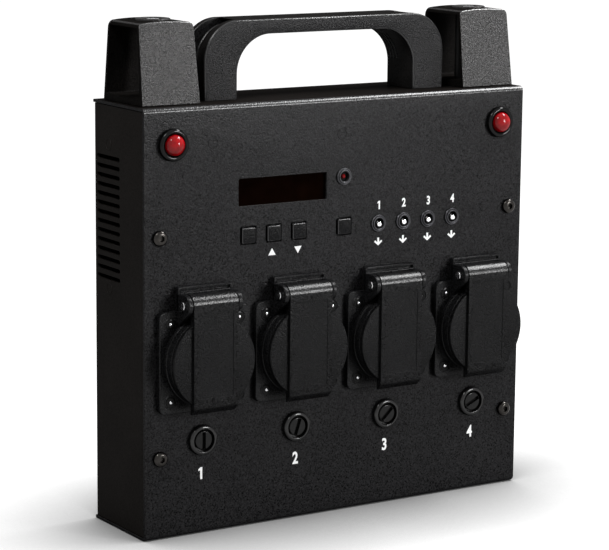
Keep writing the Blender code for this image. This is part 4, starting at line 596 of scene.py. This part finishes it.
def make_toggles():
    """Toggle switches: a stepped ring, the body behind it, and a short lever on its ball."""
    collar = ring(eased([(0.0027, 0.0036), (0.0027, -0.0012), (0.0029, -0.0013), (0.0034, -0.0013),
                         (0.0035, -0.0009), (0.0036, -0.0006), (0.0037, -0.0009), (0.0042, -0.0009),
                         (0.0044, -0.0006), (0.0044, -0.0003), (0.0032, -0.0003), (0.0032, 0.0036)],
                        0.00008, 3), 56)
    switch = bar((-0.0040, 0.0036, -0.0064), (0.0040, 0.0122, 0.0064))
    throat = ring([(0.0026, 0.0036), (0.0026, -0.0010), (0.0027, -0.0010), (0.0027, 0.0036)], 48)
    t = np.radians(np.linspace(0, 118, 12))
    ball = np.stack([0.0019 * np.sin(t), 0.0019 * np.cos(t)], 1)
    tip = np.radians(np.linspace(0, 90, 9))
    end = np.stack([0.0015 * np.cos(tip), -0.0022 - 0.0012 * np.sin(tip)], 1)
    lever = moved(solid(np.vstack([ball, [(0.0013, -0.0015)], end]), 40), turn=15, axis="X")
    for k, x in enumerate(TOGGLE_XS, 1):
        spot = (x, 0, CONTROL_LEVEL)
        show(f"switch_ring_{k}", collar, ring_metal, nodes=[f"toggle_body_{k}"], slot="toggle_metal",
             place=spot)
        # The body and the thin lining of the bore are near-black, as painted shade in the hole.
        show(f"switch_body_{k}", together(switch, throat), throat_shade_black, slot="toggle_metal", place=spot)
        show(f"switch_lever_{k}", lever, lever_chrome, f"lever_{k}", [f"toggle_lever_{k}"], "lever_chrome",
             (x, 0.0012, CONTROL_LEVEL))


def make_buttons():
    """Square caps whose front edge rounds over.

    At r (1 - sin a) behind the face, the outline is drawn in by r (1 - cos a).
    """
    size, proud, round_edge = 0.0075, 0.0008, 0.0005
    a = np.radians(np.linspace(90, 0, 7))
    outlines = [box_outline(size - 2 * inset, size - 2 * inset, 0.0005)
                for inset in round_edge * (1 - np.cos(a))]
    depths = round_edge * (1 - np.sin(a)) - proud
    cap = skin(stack([*outlines, outlines[-1]], [*depths, 0.0020]))
    flange = bar((-0.00505, 0.0018, -0.00505), (0.00505, 0.0028, 0.00505))
    stem = solid([(0, 0.0027), (0.0018, 0.0027), (0.0018, 0.0072), (0, 0.0072)], 32)
    button = together(cap, flange, stem)
    normal, centre = faces_of(button)
    # The rounded front edge takes the painted highlight.
    edge = (normal[:, 1] < -0.1) & (normal[:, 1] > -0.97) & (centre[:, 1] < 0)
    for name, x in BUTTON_XS.items():
        show(f"push_cap_{name}", button, button_black, f"button_{name}_cap", [f"button_{name}"],
             "button_plastic", (x, 0, CONTROL_LEVEL), others=[(button_edge_sheen, edge)])


def make_lamps():
    """Corner lamps: a rounded rim round a domed lens.

    The rim stands out by 0.45 + 0.55 sin a of its height at the middle of its wall plus half the wall times
    cos a, and the dome by cos a of its own at radius r sin a.
    """
    bore, rim, proud = 0.0051, 0.0078, 0.0028
    swell = np.radians(np.linspace(165, 0, 22))
    middle, half = (bore + rim) / 2, (rim - bore) / 2
    crown = np.stack([middle + half * np.cos(swell), -proud * 0.45 - proud * 0.55 * np.sin(swell)], 1)
    sleeve_back, sleeve = 0.0080, 0.0065
    bezel = ring(np.vstack([[(bore, sleeve_back), (bore, -proud * 0.4)], crown,
                            [(rim, -0.0003), (sleeve, -0.0003), (sleeve, sleeve_back)]]), 80)
    t = np.radians(np.linspace(0, 90, 16))
    lens = solid(np.vstack([np.stack([0.0050 * np.sin(t), -0.0024 - 0.0036 * np.cos(t)], 1),
                            [(0.0050, 0.0088), (0, 0.0088)]]))
    for hand, x in LAMP_XS.items():
        spot = (x, 0, LAMP_LEVEL)
        show(f"lamp_rim_{hand}", bezel, lamp_black, nodes=[f"lamp_bezel_{hand}"], slot="bezel_gloss",
             place=spot, sharp=50)
        show(f"lamp_dome_{hand}", lens, lamp_red, nodes=[f"lamp_lens_{hand}"], slot="lamp_red",
             place=spot, sharp=50)


def make_signal():
    """Signal light: a stepped ring, a dark cup in it and a small dome at the bottom of the cup."""
    bezel = ring(eased([(0.0026, 0.0060), (0.0026, -0.0013), (0.0029, -0.0015), (0.0033, -0.0015),
                        (0.0034, -0.0010), (0.0036, -0.0008), (0.0037, -0.0011), (0.0040, -0.0011),
                        (0.0042, -0.0008), (0.0042, -0.0003), (0.0035, -0.0003), (0.0035, 0.0060)],
                       0.00008, 3), 56)
    bottom, radius = 0.0004, 0.0011
    cup = solid([(0, bottom), (0.00255, bottom), (0.00255, 0.0060), (0, 0.0060)], 48)
    t = np.radians(np.linspace(0, 90, 12))
    dome = solid(np.vstack([np.stack([radius * np.sin(t), bottom - radius * np.cos(t)], 1),
                            [(radius, 0.0030), (0, 0.0030)]]), 48)
    spot = (SIGNAL_X, 0, SIGNAL_LEVEL)
    show("signal_ring", bezel, signal_grey, nodes=["signal_bezel"], slot="bezel_grey", place=spot)
    # The cup is near-black, as painted shade at the bottom of the hole.
    show("signal_cup", cup, throat_shade_black, slot="bezel_grey", place=spot)
    show("signal_dome", dome, signal_red, nodes=["signal_led"], slot="signal_red", place=spot, sharp=50)


# Handle and blocks

def make_handle():
    """Bridge handle: a section carried along two matched curves.

    At each station the inner edge and the outer edge give a foot and a direction. Section point (n, y) goes
    to foot + n direction, at depth y. Channel points drop back to the outer edge past the channel's end,
    and groove points to the inner edge below the ribs' foot.
    """
    front, back = 0.0140, 0.0377
    channel_end, ribs_start, jump = 89.5, 7.0, 0.05
    turns = np.append(np.linspace(0, 90, 31), [ribs_start - jump, ribs_start, channel_end, channel_end + jump])
    turns = np.unique(turns)
    a = np.radians(turns)
    leg = np.linspace(0, 1, 6)[:-1]
    span = np.linspace(1, 0, 8)[1:]
    outer = np.vstack([np.stack([0 * leg + 0.0700, 0.0190 * leg], 1),
                       np.stack([0.0510 + 0.0190 * np.cos(a), 0.0190 + 0.0190 * np.sin(a)], 1),
                       np.stack([0.0510 * span, 0 * span + 0.0380], 1)])
    inner = np.vstack([np.stack([0 * leg + 0.0516, 0.0118 * leg], 1),
                       np.stack([0.0326 + 0.0190 * np.cos(a), 0.0118 + 0.0190 * np.sin(a)], 1),
                       np.stack([0.0326 * span, 0 * span + 0.0308], 1)])
    channelled = np.concatenate([leg >= 0, turns <= channel_end, span < 0])
    ribbed = np.concatenate([leg < 0, turns >= ribs_start, span >= 0])
    mirror = np.array([-1, 1])
    outer, inner = (np.vstack([curve, curve[-2::-1] * mirror]) for curve in (outer, inner))
    channelled, ribbed = (np.concatenate([flag, flag[-2::-1]]) for flag in (channelled, ribbed))
    reach = np.linalg.norm(outer - inner, axis=1)
    zero = 0 * reach
    wall, depth, groove, width, pitch = 0.0045, 0.0070, 0.0008, 0.0013, 0.0026
    grooves = []
    for k in range(4):
        y = back - 0.0059 + (1.5 - k) * pitch
        grooves += [(0, y + width / 2), (groove, y + width / 2), (groove, y - width / 2), (0, y - width / 2)]
    grooves = [(zero + n, zero + y, 0.0002, "groove") for n, y in grooves]
    round_edge = 0.0013
    corners = [(reach, zero + front, round_edge, ""), (reach, zero + front + wall, 0.0006, "channel"),
               (reach - depth, zero + front + wall, 0.0010, "channel"),
               (reach - depth, zero + back - wall, 0.0010, "channel"),
               (reach, zero + back - wall, 0.0006, "channel"), (reach, zero + back, round_edge, ""),
               (zero, zero + back, round_edge, ""), *grooves, (zero, zero + front, round_edge, "")]
    steps = 5
    points = np.stack([np.stack([n, y], -1) for n, y, _, _ in corners], 1)
    section = eased(points, [ease for _, _, ease, _ in corners], steps)
    kinds = np.repeat([kind for _, _, _, kind in corners], steps + 1)
    n, y = section[..., 0], section[..., 1]
    n = np.where((kinds == "channel")[None] & ~channelled[:, None], reach[:, None], n)
    n = np.where((kinds == "groove")[None] & ~ribbed[:, None], 0.0, n)
    direction = (outer - inner) / reach[:, None]
    place = inner[:, None] + n[..., None] * direction[:, None]
    mesh = skin(np.stack([place[..., 0], y, place[..., 1] + HANDLE_FOOT], -1))
    facing = faces_of(mesh)[0][:, 1]
    # Sideways faces take the painted shade, and the front's rounded edges the painted highlight.
    show("bridge_handle", mesh, handle_black, nodes=["carry_handle"], slot="handle_plastic", sharp=30,
         others=[(handle_side_shade, np.abs(facing) < 0.2), (handle_edge_sheen, (facing < -0.2) & (facing > -0.97))])


def make_blocks():
    """Tapered stand-off blocks, open at both sides round a column.

    A section (y, z) is carried across the width. Its front leans back and its rear leans in by fixed shares of
    the height. Its top is lifted by a crown times 1 - (2 x / width)^2, and dropped by r - sqrt(r^2 - d^2) from
    where it comes within r of a side, d being how far past that point it is. Its sides draw in towards the
    top, and the window's section is joined to it at each side.
    """
    height, width, base, wall, roof, r = 0.0382, 0.0310, 0.0030, 0.0020, 0.0364, 0.0020
    crown = 0.0009
    a = np.radians(np.linspace(0, 90, 9))
    half = width / 2
    stations = np.concatenate([-half + r * (1 - np.cos(a)), np.linspace(-half + r, half - r, 13)[1:-1],
                               half - r * (1 - np.cos(a[::-1]))])

    def front(z):
        """Depth of the front face at height z."""
        return 0.0052 * z / height - 0.0180

    def rear(z):
        """Depth of the rear face at height z."""
        return 0.0206 - 0.0034 * z / height

    near = np.maximum(np.abs(stations) - (half - r), 0.0)
    drop = r - np.sqrt(np.maximum(r ** 2 - near ** 2, 0.0))
    tops = height + crown * (1 - (stations / half) ** 2) - drop
    outer = np.stack([[(front(0), 0.0), (rear(0), 0.0), (rear(z), z), (front(z), z)] for z in tops])
    outer = eased(outer, [0.0004, 0.0004, 0.0016, 0.0009], 6)
    window = np.array([(front(base) + wall, base), (rear(base) - wall, base), (rear(roof) - wall, roof),
                       (front(roof) + wall, roof)])
    window = eased(window, [0.0008, 0.0008, 0.0012, 0.0012], 6)
    sections = np.concatenate([outer, [window, window]])
    along = np.append(stations, (half, -half))[:, None]
    x = np.sign(along) * (np.abs(along) - 0.0008 * sections[..., 1] / height * np.abs(along) / half)
    body = skin(np.dstack([x, sections[..., 0], sections[..., 1]]), (False, False), loop=True)
    column = prism(arc((0, 0), 0.0065, 0, 360, 64)[:-1], base - 0.0004, roof + 0.0004, "Z")
    rise = height + 0.0016
    boss = ring(eased([(0.0050, height), (0.0050, rise), (0.0084, rise), (0.0084, height)],
                      [0, 0.0004, 0.0006, 0]), 72, "Z")
    screw = moved(hex_screw(0.0046, 0.0022, 0.0020, 0.0440, 0.0018), (0, 0, height - 0.0009), -90, "X")
    normal, centre = faces_of(body)
    inside = np.abs(centre[:, 0]) < 0.0003
    # The sides, the window's inside and the top take the painted shade; the top front edge takes the painted
    # highlight.
    shaded_faces = inside | (np.abs(normal[:, 0]) > 0.8) | (normal[:, 2] > 0.93)
    top_edge = (normal[:, 1] < -0.2) & (normal[:, 2] > 0.3) & (normal[:, 2] < 0.93) & ~inside
    for hand, x in (("left", -0.0927), ("right", 0.0927)):
        spot = (x, 0.0240, HANDLE_FOOT)
        show(f"block_body_{hand}", body, block_black, nodes=[f"stand_block_{hand}"], slot="block_plastic",
             place=spot, edge=0.0005, others=[(block_side_shade, shaded_faces), (block_edge_sheen, top_edge)])
        # The column takes the dark well finish as painted shade inside the block.
        show(f"block_column_{hand}", column, well_and_shade_black, slot="block_plastic", place=spot)
        show(f"block_ring_{hand}", boss, block_black, slot="block_plastic", place=spot)
        show(f"block_bolt_{hand}", screw, plated_steel, nodes=[f"block_screw_{hand}"],
             slot="block_screw_steel", place=spot)


# Printing on the panel

def print_on(name, mesh):
    """Stand a flat mesh on the panel as print."""
    show(name, mesh, print_white, slot="cover_powder_coat")


def number(text, x, z, height):
    """Printed figure from a font's outline, drawn narrower and bolder than the font, flat on the panel."""
    narrow, bold, figure_share = 0.78, 0.045, 0.72
    curve = bpy.data.curves.new("figure", "FONT")
    curve.body, curve.align_x, curve.align_y, curve.size = text, "CENTER", "CENTER", height / figure_share
    curve.extrude, curve.offset = 0.00001, height * bold
    item = bpy.data.objects.new("figure", curve)
    bpy.context.scene.collection.objects.link(item)
    mesh = bpy.data.meshes.new_from_object(item.evaluated_get(bpy.context.evaluated_depsgraph_get()))
    bpy.data.objects.remove(item)
    mesh.transform(Matrix.Translation((x, -0.00004, z)) @ Matrix.Rotation(math.pi / 2, 4, "X")
                   @ Matrix.Diagonal((narrow, 1.0, 1.0, 1.0)))
    return tidy(mesh)


def figure_one(x, z, height):
    """Printed 1 from its own outline, one unit high, because the font's is thinner."""
    outline = np.array([(0.16, -0.5), (0.16, 0.5), (0.0, 0.5), (-0.2, 0.36), (-0.2, 0.18), (-0.04, 0.25),
                        (-0.04, -0.5)])
    return prism(outline * height + (x, z), *INK)


def make_printing():
    """Figures over the switches and under the fuses, and arrows and triangles under switches and buttons."""
    level, height = 0.1539, 0.0042
    for k, x in enumerate((0.0223, 0.0374, 0.0525, 0.0674), 1):
        mesh = number(str(k), x, level, height) if k > 1 else figure_one(x, level, height)
        print_on(f"figure_switch_{k}", mesh)
    level, height = 0.0302, 0.0060
    for k, x in enumerate(SOCKET_XS, 1):
        mesh = number(str(k), x, level, height) if k > 1 else figure_one(x - 0.0007, 0.0301, height)
        print_on(f"figure_fuse_{k}", mesh)
    millimetre, mark_level = 0.001, 0.1356
    arrow = np.array([(-0.55, 1.9), (-0.55, -0.4), (-1.8, 0.6), (-2.45, -0.1), (0, -2.1), (2.45, -0.1),
                      (1.8, 0.6), (0.55, -0.4), (0.55, 1.9)]) * millimetre
    for k, x in enumerate(TOGGLE_XS, 1):
        print_on(f"arrow_{k}", prism(arrow + (x + 0.0002, mark_level), *INK))
    triangle = np.array([(-2.1, -1.6), (2.1, -1.6), (0, 1.9)]) * millimetre
    print_on("mark_up", prism(triangle + (-0.0402, mark_level), *INK))
    print_on("mark_down", prism(triangle * (1, -1) + (-0.0253, mark_level), *INK))


# Carried-over nodes

def dress_nodes():
    """Give a finish to each node that keeps the model's own shape."""
    finishes = {"display_window": window_red, "display_module": module_dark, "control_board": board_green,
                "power_board": board_green, "dmx_in_connector": shell_dark,
                "dmx_out_connector": shell_dark, "mains_inlet": inlet_black}
    for node, material in finishes.items():
        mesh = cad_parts[node].data
        mesh.materials.clear()
        mesh.materials.append(material)


# Stage

def seen_directly(nodes, links):
    """One where a ray comes from the camera, a reflection or a clear piece, and nought elsewhere."""
    path = nodes.new("ShaderNodeLightPath")
    total = path.outputs["Is Camera Ray"]
    for kind in ("Is Glossy Ray", "Is Transmission Ray"):
        larger = nodes.new("ShaderNodeMath")
        larger.operation = "MAXIMUM"
        links.new(total, larger.inputs[0])
        links.new(path.outputs[kind], larger.inputs[1])
        total = larger.outputs[0]
    return total


def make_floor():
    """Pale floor that shows white where it is open, and darkens softly towards the foot of the case: its glow
    is scaled by ambient occlusion cubed, a painted contact shadow.
    """
    mesh = bpy.data.meshes.new("floor")
    reach, level = 4, -0.0002
    mesh.from_pydata([(x * reach, y * reach, level) for x, y in ((-1, -1), (1, -1), (1, 1), (-1, 1))], [],
                     [(0, 1, 2, 3)])
    floor = bpy.data.objects.new("floor", mesh)
    bpy.context.scene.collection.objects.link(floor)
    white = bpy.data.materials.new("floor_white")
    white.use_nodes = True
    nodes, links = white.node_tree.nodes, white.node_tree.links
    shader = nodes["Principled BSDF"]
    shader.inputs["Base Color"].default_value = (0.22, 0.22, 0.22, 1.0)
    shader.inputs["Roughness"].default_value = 0.9
    shader.inputs["Specular IOR Level"].default_value = 0.0
    shader.inputs["Emission Color"].default_value = (1.0, 1.0, 1.0, 1.0)
    # Painted contact shadow: the glow falls with ambient occlusion near the case.
    painted_contact_shadow = nodes.new("ShaderNodeAmbientOcclusion")
    painted_contact_shadow.inputs["Distance"].default_value = 0.10
    fall, lift = nodes.new("ShaderNodeMath"), nodes.new("ShaderNodeMath")
    fall.operation, lift.operation = "POWER", "MULTIPLY"
    fall.inputs[1].default_value = 3.0
    links.new(painted_contact_shadow.outputs["AO"], fall.inputs[0])
    links.new(fall.outputs[0], lift.inputs[0])
    links.new(seen_directly(nodes, links), lift.inputs[1])
    links.new(lift.outputs[0], shader.inputs["Emission Strength"])
    mesh.materials.append(white)


def make_world():
    """White studio where it is seen directly, and a dimmer one as light on the object."""
    world = bpy.data.worlds.new("studio")
    bpy.context.scene.world = world
    world.use_nodes = True
    nodes, links = world.node_tree.nodes, world.node_tree.links
    level = nodes.new("ShaderNodeMapRange")
    level.inputs["To Min"].default_value, level.inputs["To Max"].default_value = 0.22, 1.0
    links.new(seen_directly(nodes, links), level.inputs["Value"])
    background = nodes["Background"]
    background.inputs["Color"].default_value = (1.0, 1.0, 1.0, 1.0)
    links.new(level.outputs["Result"], background.inputs["Strength"])


def lamp(name, place, aim, size, power, up=(0, 0, 1)):
    """Softbox that faces its aim, with its second size along the direction that is called up."""
    light = bpy.data.lights.new(name, "AREA")
    light.shape, light.size, light.size_y, light.energy = "RECTANGLE", size[0], size[1], power
    item = bpy.data.objects.new(name, light)
    bpy.context.scene.collection.objects.link(item)
    away = Vector(np.subtract(place, aim)).normalized()
    side = Vector(up).cross(away).normalized()
    item.location = place
    item.rotation_euler = Matrix((side, away.cross(side), away)).transposed().to_euler()


def make_light_and_camera():
    """Three softboxes, and the camera in the place that the photograph was taken from."""
    lamp("softbox_front", (0.76, -1.29, 0.42), (0, 0, 0.15), (0.30, 0.46), 15)
    lamp("softbox_top", (0.76, -0.15, 1.10), (0, 0, 0.18), (0.26, 0.72), 20, (0, 1, 0))
    lamp("softbox_upper_left", (-0.64, -0.34, 1.10), (0, 0, 0.15), (0.32, 0.32), 6)
    camera = bpy.data.cameras.new("camera")
    camera.lens, camera.sensor_width, camera.sensor_fit = 143.805, 36.0, "HORIZONTAL"
    item = bpy.data.objects.new("camera", camera)
    bpy.context.scene.collection.objects.link(item)
    item.location = (-0.656357, -1.007021, 0.339580)
    item.rotation_euler = [math.radians(angle) for angle in (79.52335, -0.52768, -32.55897)]
    bpy.context.scene.camera = item
    bpy.context.scene.view_settings.view_transform = "Standard"


make_cover()
make_tray()
make_marks()
make_screws()
make_sockets()
make_lids()
make_pins()
make_fuses()
make_toggles()
make_buttons()
make_lamps()
make_signal()
make_handle()
make_blocks()
make_printing()
dress_nodes()
make_floor()
make_world()
make_light_and_camera()
